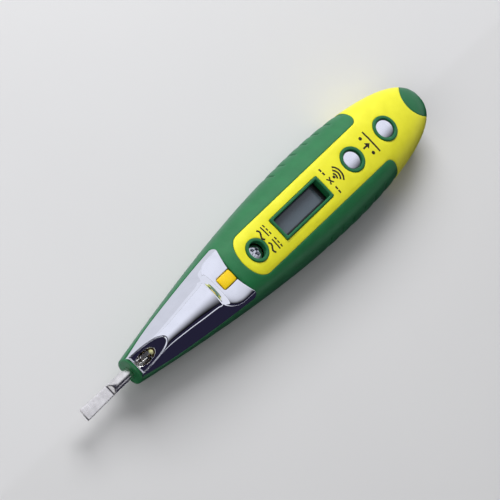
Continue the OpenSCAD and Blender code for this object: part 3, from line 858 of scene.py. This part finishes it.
panel_holes = [
    plan_loop(circle(SCREW_X, 0, SCREW_RING_W / 2 + GAP), True),
    plan_loop(bar(BEZEL_X, 0, BEZEL_L + 2 * GAP, BEZEL_W + 2 * GAP, BEZEL_CORNER_R), True),
]
for key_x in KEYS.values():
    panel_holes.append(plan_loop(circle(key_x, 0, KEY_RING_W / 2 + GAP), True))

case_piece("case_front", yellow_outline(True), panel_holes, True, "yellow_plastic",
           ["front_case"], SHELL_T)
case_piece("case_rear", yellow_outline(False), [], False, "yellow_plastic", ["rear_case"],
           SHELL_T)


def hood_hole():
    """Opening in the grip that the hood stands in, in case coordinates."""
    xs = np.linspace(HOOD_FRONT_X, HOOD_CORNER_X - REAR_CORNER_R, 60)
    foot = stack(xs, foot_half(xs) + FOOT_INSET - SEAM)
    half = plan_loop(np.concatenate([foot, hood_plan_rear(SEAM, 0.0)]), True)
    return np.concatenate([half, half[::-1][1:] * [1, -1]])


grip_points = np.concatenate([nick_points(), nose_points()])
case_piece("grip_front", green_outline(True), [hood_hole()], True, "green_rubber",
           ["front_overmould"], SKIN_T, extra=grip_points, relief=nicked,
           edge_step=GRIP_EDGE_STEP)
case_piece("grip_rear", green_outline(False), [], False, "green_rubber",
           ["rear_overmould"], SKIN_T, extra=grip_points, relief=nicked, edge_step=GRIP_EDGE_STEP)


# Shares of the way from the cap's front edge to its end, closer together at both ends
CAP_SHARES = [0, 0.015, 0.04, 0.1, 0.18, 0.28, 0.38, 0.48, 0.58, 0.68, 0.77, 0.85, 0.92, 0.965,
              0.99]
CAP_LIP_SHARE = 0.02
CAP_HOLLOW = [0.80, 0.84, 0.84]


def tail_cap():
    """Cap over the end, as one closed cup."""
    edges = [(True, cap_edge(SEAM, True)[:-1]), (False, cap_edge(SEAM, False)[::-1][:-1])]
    rings = []
    for share in CAP_SHARES:
        ring = []
        for top, edge in edges:
            p = edge[:, 0] + share * (P_TAIL - edge[:, 0])
            ring.append(case_point(p, edge[:, 1], top))
        rings.append(np.concatenate(ring))
    middle = np.array([CAP_X - CAP_R, 0, AXIS_Z])
    lip = rings[0] + (middle - rings[0]) * CAP_LIP_SHARE
    inner = [middle + (r - middle) * CAP_HOLLOW for r in rings]
    return rings_mesh(inner[::-1] + [lip] + rings[1:])


new_piece("tail_cap_shell", tail_cap(), "green_plastic", nodes=["tail_cap"])

# ---- hood and lamp ----

BUTTON_FLANGE = 0.4
BUTTON_X = centre("lamp_button")[0] + BUTTON_FLANGE / 2
BUTTON_L = span("lamp_button")[0] - BUTTON_FLANGE
BUTTON_W = span("lamp_button")[1] - 2 * BUTTON_FLANGE
BUTTON_LOW, BUTTON_TOP = heights("lamp_button")
BUTTON_GAP = 0.08
NOTCH_R = 0.5

# Slanted facet: its height at the front, then a raised rim and a step down inside it
FACET_Z = 3.5
FACET_SLOPE = 0.291
FACET_SINK = 0.28
FACET_RIM_W = 0.16
FACET_STEP_W = 0.36
FACET_RIM_RISE = 0.06
FACET_POWER = 2.3
FACET_BLEND = 0.08
FACET_MARGIN = 1.5
OPENING_X = -46.2
OPENING_L = 6.0
OPENING_W = 3.1
FACET_L = FACET_END_X - HOOD_FRONT_X


def facet_edge(turn):
    """Plan points of the facet's outline, from one foot over its tip to the other."""
    back = np.abs(squared(np.cos(turn), FACET_POWER))
    half = squared(np.sin(turn), FACET_POWER)
    return stack(HOOD_FRONT_X + FACET_L * back, FACET_HALF_W * half)


FACET_EDGE = facet_edge(np.linspace(-math.pi / 2, math.pi / 2, 400))


def facet_cut(x, y, z):
    """Hood height with its front sliced into a slanted facet, sunk inside a rim."""
    shape = np.shape(x)
    flat = stack(np.ravel(x), np.ravel(y))
    d = np.zeros(len(flat))
    near = flat[:, 0] < FACET_END_X + FACET_MARGIN
    away = ((flat[near][:, None] - FACET_EDGE[None]) ** 2).sum(2).min(1)
    across = np.abs(flat[:, 1]) / FACET_HALF_W
    reach = np.clip((flat[:, 0] - HOOD_FRONT_X) / FACET_L, 0, 2)
    within = reach ** FACET_POWER + across ** FACET_POWER < 1
    d[near] = np.sqrt(away) * np.where(within[near], 1, -1)
    d = np.minimum(d.reshape(shape), x - HOOD_FRONT_X)
    t = np.clip((d - FACET_RIM_W) / FACET_STEP_W, 0, 1)
    fall = (FACET_SINK + FACET_RIM_RISE) * t * t * (3 - 2 * t)
    plane = FACET_Z + FACET_SLOPE * (x - HOOD_FRONT_X) + FACET_RIM_RISE - fall
    return np.where(x < FACET_END_X + FACET_MARGIN, smooth_min(z, plane, FACET_BLEND), z)


# Distances in from the rim, and from the hood's front, that get rows of mesh points
RIM_ROWS = (-0.1, 0.0, 0.1, 0.2, 0.28, 0.36, 0.44, 0.52, 0.62)
FRONT_ROWS = (0.2, 0.3, 0.4, 0.52)


def facet_points():
    """Extra mesh points along the facet's rim, in hood coordinates."""
    turn = np.linspace(-1.5, 1.5, 240)
    edge = facet_edge(turn)
    along = np.gradient(edge, axis=0)
    along /= np.linalg.norm(along, axis=1)[:, None]
    inward = stack(-along[:, 1], along[:, 0])
    pts = [edge + inward * d for d in RIM_ROWS]
    ys = np.linspace(-2.5, 2.5, 26)
    pts += [stack(HOOD_FRONT_X + d, ys) for d in FRONT_ROWS]
    pts = np.concatenate(pts)
    return hood_loop(pts[pts[:, 0] > HOOD_FRONT_X + 0.15])


def hood_surface(x, v):
    """Hood with its facet."""
    out = hood_point(x, v)
    out[..., 2] = AXIS_Z + facet_cut(out[..., 0], out[..., 1], out[..., 2] - AXIS_Z)
    return out


def hood_outline():
    """Outline of the hood with the button's notch, in hood coordinates."""
    xs = np.linspace(HOOD_FRONT_X, HOOD_CORNER_X - REAR_CORNER_R, 80)
    side = stack(xs, 20.0)
    notch_y = BUTTON_W / 2 + BUTTON_GAP
    notch_x = BUTTON_X - BUTTON_L / 2 - BUTTON_GAP
    rear = hood_loop(hood_plan_rear(0.0, notch_y)[1:])
    notch = hood_loop([[notch_x + NOTCH_R, notch_y],
                       [notch_x + 0.3 * NOTCH_R, notch_y - 0.3 * NOTCH_R],
                       [notch_x, notch_y - NOTCH_R]])
    half = np.concatenate([side, rear, notch])
    return np.concatenate([half, half[::-1] * [1, -1]])


turn = np.linspace(0, 2 * math.pi, 72)[:-1]
opening = stack(OPENING_X + OPENING_L / 2 * np.cos(turn), OPENING_W / 2 * np.sin(turn))
hood = plate(hood_surface, hood_outline(), [hood_loop(opening)],
             limits=((HOOD_FRONT_X - 2, 0), (-20, 20)), step=0.34, lip=0.16, depth=HOOD_T,
             down=True, extra=facet_points())
new_piece("hood_shell", hood, "chrome_plate", nodes=["lamp_hood"])

# Lining of the opening: how far it reaches past it, leans back and closes in to its foot
BOWL_REACH = 0.05
BOWL_LEAN = 0.45
BOWL_CLOSE_L = 0.35
BOWL_CLOSE_W = 0.06
BOWL_DROP = 0.35
BOWL_LOW = 1.75
BOWL_WALL_L, BOWL_WALL_W = 1.09, 1.12


def lamp_bowl():
    """Dark lining under the opening, leaning back behind the lamp."""
    turn = full_turn(72)
    rows = []
    for share in np.linspace(0, 1, 8):
        half_l = OPENING_L / 2 + BOWL_REACH - BOWL_CLOSE_L * share
        x = OPENING_X - BOWL_LEAN * share + half_l * np.cos(turn)
        y = (OPENING_W / 2 + BOWL_REACH - BOWL_CLOSE_W * share) * np.sin(turn)
        top = FACET_Z + FACET_SLOPE * (x - HOOD_FRONT_X) - FACET_SINK - BOWL_DROP
        rows.append((x, y, top + (BOWL_LOW - top) * share + AXIS_Z))
    inner = [stack(*row) for row in rows]
    outer = [stack(OPENING_X + (x - OPENING_X) * BOWL_WALL_L, y * BOWL_WALL_W, z)
             for x, y, z in rows]
    return rings_mesh(inner + outer[::-1], closed=True)


new_piece("lamp_bowl", lamp_bowl(), "lamp_cavity", "black_plastic")

LED_X0, LED_X1 = corner("lamp_led", False)[0], corner("lamp_led", True)[0]
LED_R = span("lamp_led")[1] / 2
LED_Z = centre("lamp_led")[2]


def along_x(verts, x, z):
    """Turned solid laid down so that its axis points along +X."""
    v = np.asarray(verts, float)
    return stack(v[:, 2] + x, v[:, 1], -v[:, 0] + z)


def domed_rod(r, dome_l, length, edge, turns, segments, place):
    """Rod along +X from a place, with a domed front and a bevelled back."""
    a = np.radians(np.linspace(0, 90, turns))
    back = [[r, length - edge], [r - edge, length]] if edge else [[r, length]]
    profile = [*stack(r * np.sin(a), dome_l - dome_l * np.cos(a)), *back, [0, length]]
    verts, faces = lathe(profile, segments)
    return along_x(verts, *place), faces


lens = domed_rod(LED_R, LED_R, LED_X1 - LED_X0, 0.15, 12, 48, (LED_X0, LED_Z))
new_piece("lamp_lens", lens, "led_resin", nodes=["lamp_led"])

# Bright posts inside the clear lens and the pale glow spot at its tail end
POST_X = LED_X0 + 0.5
POST_Z = LED_Z + 0.4
POST_TIP_HALF = 0.06
# Across the pen, foot width and length of each post
POSTS = [(-0.5, 0.85, 3.3), (0.7, 0.36, 2.2)]
GLOW_R = 0.72
GLOW_DOME = 0.5
GLOW_L = 0.8
GLOW_PLACE = (LED_X1 + 0.15, LED_Z + 0.8)

parts = []
for post_y, post_w, post_l in POSTS:
    tip = POST_X + post_l
    wedge = [[POST_X, post_y - post_w / 2], [tip, post_y - POST_TIP_HALF],
             [tip, post_y + POST_TIP_HALF], [POST_X, post_y + post_w / 2]]
    parts.append(flat_plate(POST_Z, wedge, depth=0.2, lip=0.03, step=0.3))
new_piece("lamp_posts", joined(parts), "chrome_plate", "spring_steel")
spot = domed_rod(GLOW_R, GLOW_DOME, GLOW_L, 0, 8, 32, GLOW_PLACE)
new_piece("lamp_spot", spot, "led_phosphor", "led_resin")

# ---- lamp button ----

BUTTON_CROWN = 0.18
BUTTON_CORNER_R = 0.3
FLANGE_T = 0.5

button_top = plate(crowned(BUTTON_X, 0, BUTTON_TOP, BUTTON_L / 2, BUTTON_W / 2, BUTTON_CROWN),
                   bar(BUTTON_X, 0, BUTTON_L, BUTTON_W, BUTTON_CORNER_R), step=0.35, lip=0.14,
                   depth=BUTTON_TOP - BUTTON_LOW - BUTTON_CROWN * 2, down=True)
button_flange = flat_plate(BUTTON_LOW + FLANGE_T,
                           bar(BUTTON_X - BUTTON_FLANGE / 2, 0, BUTTON_L + BUTTON_FLANGE,
                               BUTTON_W + 2 * BUTTON_FLANGE, BUTTON_CORNER_R),
                           depth=FLANGE_T, lip=0.05, step=0.8)
new_piece("lamp_button_cap", joined([button_top, button_flange]), "button_yellow",
          body="lamp_button", nodes=["lamp_button"])

# ---- display ----

BEZEL_RIM = 0.8
BEZEL_CROWN = 0.35
GLASS_X0, GLASS_X1 = corner("lcd_glass", False)[0], corner("lcd_glass", True)[0]
GLASS_TOP = corner("lcd_glass", True)[2]

bezel_low, bezel_top = heights("lcd_bezel")
bezel = plate(crowned(BEZEL_X, 0, bezel_top, 1000, BEZEL_W * 1.2, BEZEL_CROWN),
              bar(BEZEL_X, 0, BEZEL_L, BEZEL_W, BEZEL_CORNER_R),
              [bar(BEZEL_X, 0, BEZEL_L - 2 * BEZEL_RIM, BEZEL_W - 2 * BEZEL_RIM, 0.35)],
              step=0.6, lip=0.24, depth=bezel_top - bezel_low - 0.4, down=True)
new_piece("display_frame", bezel, "green_plastic", nodes=["lcd_bezel"])
glass_l, glass_w, glass_t = span("lcd_glass")
glass = flat_plate(GLASS_TOP, bar(centre("lcd_glass")[0], 0, glass_l, glass_w, 0.2), depth=glass_t)
new_piece("display_window", glass, "display_glass", nodes=["lcd_glass"])

# Black strips that paint shade on the display, at its tail end and along its -Y side, where the glass
# lies in shadow
SHADE_STRIP_LIFT = 0.06
SHADE_STRIP_CLEAR = 0.02
SHADE_STRIP_SIDE_W = 0.42
SHADE_STRIP_SIDE_IN = 0.25
SHADE_STRIP_T = 0.9
tail_x0 = GLASS_X1 - SHADE_STRIP_CLEAR
tail_x1 = BEZEL_X + BEZEL_L / 2 - BEZEL_RIM - SHADE_STRIP_CLEAR
shade_strip_half = BEZEL_W / 2 - BEZEL_RIM - GAP
strips = [bar((tail_x0 + tail_x1) / 2, 0, tail_x1 - tail_x0, 2 * shade_strip_half, 0.05),
          bar((GLASS_X0 + tail_x0) / 2 - 0.05, SHADE_STRIP_SIDE_IN - shade_strip_half, tail_x0 - GLASS_X0 - 0.2,
              SHADE_STRIP_SIDE_W, 0.05)]
parts = [flat_plate(GLASS_TOP + SHADE_STRIP_LIFT, strip, depth=SHADE_STRIP_T, lip=0.03)
         for strip in strips]
# painted shade: black strips standing for the shadow at the display's tail end and -Y side
new_piece("display_painted_shade", joined(parts), "black_plastic")

# ---- touch keys ----

KEY_CROWN = 0.3
KEY_FLANGE = 0.5
KEY_FLANGE_T = 0.4
KEY_EDGE_R = 0.16
KEY_RING_WALL = 0.925
COLLAR_EDGE_R = 0.3
DIRECT_SLOPE = math.tan(math.radians(4.6))
SPRING_WIRE = 0.3
SPRING_TURNS = 3


def coil(foot, radius, height, wire, turns, per_turn=24, sides=8):
    """Closed tube of round wire wound up a helix that stands on foot."""
    a = np.linspace(0, 2 * math.pi * turns, turns * per_turn + 1)
    lift = wire / 2 + (height - wire) * np.linspace(0, 1, len(a))
    out = stack(np.cos(a), np.sin(a), 0)
    middle = np.asarray(foot) + out * radius + stack(0, 0, lift)
    b = full_turn(sides)
    rings = [m + wire / 2 * (np.outer(np.cos(b), o) + np.outer(np.sin(b), [0, 0, 1]))
             for m, o in zip(middle, out)]
    return rings_mesh(rings)


def sheared(verts, x, slope, z_from):
    """Heights above z_from leaned down toward the tail, about x."""
    v = np.array(verts, float)
    share = np.clip((v[:, 2] - z_from) / 1.0, 0, 1)
    v[:, 2] -= slope * (v[:, 0] - x) * share
    return v


def collar(name, node, place_x, outer_r, bore_r, edge_r, slope=0):
    """Ring round a key or the screw, with its top leaned down by a slope."""
    low, high = heights(node)
    high -= slope * outer_r
    profile = rounded([[bore_r, low, 0], [outer_r, low, 0], [outer_r, high, 1],
                       [bore_r, high, 1]], edge_r, 6)
    verts, faces = lathe(profile, 96, (place_x, 0, 0))
    new_piece(name, (sheared(verts, place_x, slope, low), faces), "green_plastic", nodes=[node])


for key, key_x in KEYS.items():
    collar(key + "_collar", key + "_ring", key_x, KEY_RING_W / 2,
           KEY_RING_W / 2 - KEY_RING_WALL, COLLAR_EDGE_R, DIRECT_SLOPE if key == "direct_key" else 0)

    cap_low, cap_top = heights(key)
    flange_top = cap_low + KEY_FLANGE_T
    key_r = span(key)[0] / 2 - KEY_FLANGE
    crown = [[key_r * k, cap_top - KEY_CROWN * k * k, 0] for k in np.linspace(0.86, 0.0, 10)]
    cap = rounded([[0, cap_low, 0], [key_r + KEY_FLANGE, cap_low, 0],
                   [key_r + KEY_FLANGE, flange_top, 0], [key_r, flange_top, 0],
                   [key_r, cap_top - KEY_CROWN, 1], *crown], KEY_EDGE_R, 6)
    new_piece(key + "_cap", lathe(cap, 96, (key_x, 0, 0)), "key_metal", body=key, nodes=[key])

    spring = key + "_spring"
    spring_low, spring_high = heights(spring)
    wound = coil((key_x, 0, spring_low), span(spring)[0] / 2 - SPRING_WIRE / 2,
                 spring_high - spring_low, SPRING_WIRE, SPRING_TURNS)
    new_piece(key + "_coil", wound, "spring_steel", nodes=[spring],
              follow=(key, spring_low, spring_high))

# ---- case screw ----

SCREW_BORE_R = 2.35
collar("screw_collar", "screw_ring", SCREW_X, SCREW_RING_W / 2, SCREW_BORE_R, 0.26)

screw_low, screw_high = heights("case_screw")
SCREW_HEAD_R = span("case_screw")[0] / 2
SHANK_R = 1.0
CROSS_DEG = 20
CROSS_L, CROSS_W = 2.6, 0.6
HEAD_T = 1.3
HEAD_DOME = 0.28
HEAD_SEAT_T = 0.55
HEAD_CROSS_T = 0.75
POINT_L = 1.2


def cross(x, y, length, width, degrees):
    """Outline of a cross with slightly rounded inner corners."""
    arm, half = length / 2, width / 2
    pts = []
    for quarter in range(4):
        a = math.radians(quarter * 90 + degrees)
        for u, v in [(arm, -half), (arm, half), (half * 1.6, half), (half, half * 1.6)]:
            pts.append([x + u * math.cos(a) - v * math.sin(a),
                        y + u * math.sin(a) + v * math.cos(a)])
    return np.array(pts)


head = plate(crowned(SCREW_X, 0, screw_high, SCREW_HEAD_R, SCREW_HEAD_R, HEAD_DOME),
             circle(SCREW_X, 0, SCREW_HEAD_R, 64),
             [cross(SCREW_X, 0, CROSS_L, CROSS_W, CROSS_DEG)], step=0.3, lip=0.12,
             depth=HEAD_CROSS_T, down=True)
seat = screw_high - HEAD_T
base = flat_plate(seat + HEAD_SEAT_T, circle(SCREW_X, 0, SCREW_HEAD_R - 0.1, 64),
                  depth=HEAD_SEAT_T, lip=0)
shank = lathe([[0, screw_low], [SHANK_R * 0.4, screw_low], [SHANK_R, screw_low + POINT_L],
               [SHANK_R, seat + 0.1], [0, seat + 0.1]], 32, (SCREW_X, 0, 0))
new_piece("case_screw_cross", joined([head, base, shank]), "screw_steel",
          nodes=["case_screw"])

# ---- blade ----

TIP_X = corner("blade_shaft", False)[0]
SHAFT_END_X = corner("blade_shaft", True)[0]
BLADE_W = span("blade_shaft")[1]
SHAFT_HALF = span("blade_shaft")[2] / 2

# Distance from the tip, half width, half thickness, squareness of the section
BLADE_SECTIONS = np.array([
    [0.0, BLADE_W / 2 - 0.06, 0.25, 9],
    [0.06, BLADE_W / 2, 0.3, 9],
    [10.3, BLADE_W / 2 - 0.2, 0.4, 9],
    [10.55, BLADE_W / 2 - 0.2, 0.52, 7],
    [10.9, BLADE_W / 2 - 0.22, 0.95, 4],
    [11.2, SHAFT_HALF, 1.3, 2.6],
    [11.5, SHAFT_HALF, SHAFT_HALF, 2],
    [SHAFT_END_X - TIP_X, SHAFT_HALF, SHAFT_HALF, 2],
])
# Distances from the tip that get a ring: close together where blade turns into shaft
shaft_l = SHAFT_END_X - TIP_X
places = [0, 0.06, *np.arange(1, 10, 1.0), *np.arange(10.1, 11.6, 0.1),
          *np.arange(13, shaft_l, 3), shaft_l]
turn = full_turn(64)
rings = []
for d in sorted(set(np.round(places, 3))):
    w, t, power = [float(np.interp(d, BLADE_SECTIONS[:, 0], BLADE_SECTIONS[:, k]))
                   for k in (1, 2, 3)]
    rings.append(stack(TIP_X + d, w * squared(np.cos(turn), power),
                       t * squared(np.sin(turn), power) + AXIS_Z))
new_piece("blade_bar", rings_mesh(rings), "blade_steel", nodes=["blade_shaft"])

# ---- printed signs, plain ones with no lettering ----

INK_T = 0.012
SIGN_LIFT = 0.006


def on_case(x, y):
    """Surface of the case top with the ink's lift."""
    return stack(x, y, case_top_z(x, y) + SIGN_LIFT)


def stroke(points, width):
    """Plan outline of a line of a given width with square ends."""
    pts = np.asarray(points, float)
    d = np.gradient(pts, axis=0)
    d /= np.linalg.norm(d, axis=1)[:, None]
    n = stack(-d[:, 1], d[:, 0]) * width / 2
    return np.concatenate([pts - n, (pts + n)[::-1]])


def wave(x, y, length, swing, width):
    """A wave across the pen."""
    t = np.linspace(-1, 1, 24)
    return stroke(stack(x + swing * np.sin(t * math.pi), y + t * length / 2), width)


def dash(x, y, length, width):
    return stroke([[x, y - length / 2], [x, y + length / 2]], width)


def ripple(x, y, r, width):
    return stroke(arc(x, y, r, -50, 50, 12), width)


INK_W = 0.5
THIN_W = INK_W * 0.8
# Where each sign starts along the pen
SUPPLY_X = 1.9
BREAK_X = 27.3
TOUCH_X = 41.9

signs = []
# kinds of supply beside the screw: waves, and lines over dashes
for row_y in (-2.1, 2.1):
    signs.append(wave(SUPPLY_X, row_y, 3.1, 0.42, INK_W))
    signs.append(dash(SUPPLY_X + 1.55, row_y, 3.1, THIN_W))
    for k in (-1, 0, 1):
        signs.append(dash(SUPPLY_X + 2.45, row_y + k * 1.15, 0.8, THIN_W))
# broken wire and field waves between the display and the first key
for k in (-3, -2, 2, 3):
    signs.append(dash(BREAK_X + 0.6, k * 1.2, 0.9, INK_W))
for start_x, end_x in [(BREAK_X, BREAK_X + 1.2), (BREAK_X + 1.2, BREAK_X)]:
    signs.append(stroke([[start_x, -0.9], [end_x, 0.9]], THIN_W))
for r in (1.1, 2.0, 2.9):
    signs.append(ripple(BREAK_X + 1.9, 0, r, INK_W))
signs.append(circle(BREAK_X + 2.2, 0, 0.42, 20))
# touch sign before the second key: an arrow onto a bar between two dots
tail, neck, point = TOUCH_X, TOUCH_X + 1.3, TOUCH_X + 2.6
signs.append(np.array([[tail, -0.25], [neck, -0.25], [neck, -0.95], [point, 0], [neck, 0.95],
                       [neck, 0.25], [tail, 0.25]]))
signs.append(dash(point + 0.8, 0, 6.6, INK_W))
for side_y in (-2.4, 2.4):
    signs.append(circle(TOUCH_X + 1.5, side_y, 0.5, 20))
parts = [plate(on_case, s, step=0.5, lip=0, depth=INK_T, down=True) for s in signs]
new_piece("case_signs", joined(parts), "sign_ink", "yellow_plastic")

# ---- inner parts keep their CAD mesh ----

INNER = {
    "connector_rubber": ["lcd_connector"],
    "spring_steel": ["led_leads", "contact_spring", "battery_spring"],
    "lamp_cavity": ["led_holder"],
    "black_plastic": ["switch_plunger", "switch_body", "display_chip", "board_components"],
    "board_laminate": ["lamp_board", "main_board"],
    "wire_red": ["lamp_wires"],
    "wire_black": ["battery_leads"],
    "wire_blue": ["probe_wire"],
    "contact_brass": ["blade_anchor", "key_pads", "battery_contacts"],
    "resistor_lacquer": ["safety_resistor"],
    "cell_steel": ["button_cells"],
}
for finish, inner_nodes in INNER.items():
    for node in inner_nodes:
        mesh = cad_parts[node].data
        mesh.materials.clear()
        mesh.materials.append(MATERIALS[finish])

# ---- floor, light and camera ----


def area_light(name, place, size, power):
    """White softbox aimed at the pen, which polished metal doesn't mirror."""
    data = bpy.data.lights.new(name, "AREA")
    data.shape = "RECTANGLE"
    data.size, data.size_y = size
    data.energy = power
    obj = placed(name, data)
    obj.location = place
    obj.rotation_euler = (-Vector(place)).to_track_quat("-Z", "Y").to_euler()
    obj.visible_camera = False
    obj.visible_glossy = False


def board(name, x, y, z, material):
    """Flat sheet, in metres. Two of x, y and z are ranges, and the third is one number."""
    spans = [v if isinstance(v, tuple) else (v, v) for v in (x, y, z)]
    low, high = [list(ends) for ends in zip(*spans)]
    first, second = [k for k in range(3) if low[k] != high[k]]
    corners = [list(low), list(low), high, list(low)]
    corners[1][first] = high[first]
    corners[3][second] = high[second]
    mesh = bpy.data.meshes.new(name)
    mesh.from_pydata(corners, [], [[0, 1, 2, 3]])
    mesh.materials.append(MATERIALS[material])
    obj = placed(name, mesh)
    return obj


finish_of("floor_paper", (0.66, 0.66, 0.67), (0.70, 0.70, 0.71), (0.75, 0.85), tint_scale=4.0,
          wear_scale=20.0)

FLOOR = (-3.0, 3.0)
board("floor", FLOOR, FLOOR, 0, "floor_paper")

world = bpy.data.worlds.new("studio")
bpy.context.scene.world = world
world.use_nodes = True
sky = world.node_tree.nodes["Background"]
put(sky, Color=(1, 1, 1, 1), Strength=0.17)

area_light("key_light", (0.25, 0.45, 0.45), (0.5, 0.4), 5.2)
area_light("fill_light", (-0.55, 0.12, 0.45), (0.5, 0.5), 1.6)


EVEN = (-1.0, -0.9)


def glow_finish(name, tone, strength, fade_from, fade_to):
    """Softbox cloth that fades along its own Y."""
    mat = bpy.data.materials.new(name)
    mat.use_nodes = True
    tree = mat.node_tree
    tree.nodes.remove(tree.nodes["Principled BSDF"])
    glow = new_node(tree, "Emission", Color=(*tone, 1))
    coord = new_node(tree, "TexCoord")
    split = new_node(tree, "SeparateXYZ")
    fade = new_node(tree, "MapRange", From_Min=fade_from, From_Max=fade_to, To_Max=strength)
    fade.interpolation_type = "SMOOTHSTEP"
    link(tree, coord, "Object", split, "Vector")
    link(tree, split, "Y", fade, "Value")
    link(tree, fade, "Result", glow, "Strength")
    link(tree, glow, "Emission", tree.nodes["Material Output"], "Surface")
    MATERIALS[name] = mat


def reflected_only(obj):
    """Studio board that shows in polished metal and nowhere else."""
    for ray in ("camera", "diffuse", "shadow", "transmission", "volume_scatter"):
        setattr(obj, "visible_" + ray, False)


glow_finish("softbox_cloth", (0.85, 0.87, 1.0), 0.98, -0.30, 0.05)
# these three fade outside their boards, so they glow evenly
glow_finish("wall_cloth", (0.86, 0.88, 1.0), 0.92, *EVEN)
glow_finish("navy_cloth", (0.35, 0.32, 0.75), 0.05, *EVEN)
glow_finish("low_cloth", (0.86, 0.88, 1.0), 0.78, *EVEN)

# Boards of the studio, in metres: bright cloth on the lit side, dark flags on the other
ROOM_X, ROOM_Y = 0.9, 0.6
BOARD_Z = 0.5
FLAG_Z = BOARD_Z + 0.01
LOW_Z = 0.0003
ACROSS = (-ROOM_X, ROOM_X)
STUDIO = [
    ("softbox", (0.10, 0.85), (-0.31, 0.75), BOARD_Z, "softbox_cloth"),
    ("softbox_wall", ACROSS, 0.8, (0, BOARD_Z), "wall_cloth"),
    ("softbox_front", -ROOM_X, (-0.3, 0.8), (0, BOARD_Z), "wall_cloth"),
    ("softbox_tail", ROOM_X, (-ROOM_Y, 0.8), (0, BOARD_Z), "wall_cloth"),
    ("strip", (-0.6, ROOM_X), -0.595, (0.10, 0.22), "wall_cloth"),
    ("flag_above", (-0.5, 0.85), (-ROOM_Y, 0.7), FLAG_Z, "navy_cloth"),
    ("flag_side", ACROSS, -ROOM_Y, (0, FLAG_Z), "navy_cloth"),
    ("flag_low", ACROSS, (-ROOM_Y, 0), LOW_Z, "navy_cloth"),
    ("cloth_low", ACROSS, (0, 0.78), LOW_Z, "low_cloth"),
]
for sheet in STUDIO:
    reflected_only(board(*sheet))

bpy.context.scene.view_settings.view_transform = "Standard"

camera_data = bpy.data.cameras.new("photo_camera")
camera = placed("photo_camera", camera_data)
bpy.context.scene.camera = camera
camera_data.sensor_width = 36
camera_data.lens = 1728
camera_data.clip_end = 20
# Far away with a long lens, so that parallel edges stay parallel
CAMERA_FAR = 6.0
CAMERA_LOW_DEG = 56.6
# Cosine and sine of the camera's roll
CAMERA_ROLL = (0.6903, 0.7235)
aim = Vector((1.1 * MM, 1.3 * MM, AXIS_Z * MM))
lift = math.radians(CAMERA_LOW_DEG)
back = Vector((-math.cos(lift), 0, math.sin(lift)))
side = Vector((0, -1, 0))
up = back.cross(side)
right = side * CAMERA_ROLL[0] + up * CAMERA_ROLL[1]
top = up * CAMERA_ROLL[0] - side * CAMERA_ROLL[1]
camera.matrix_world = Matrix.Translation(aim + back * CAMERA_FAR) @ Matrix(
    (right, top, back)).transposed().to_4x4()
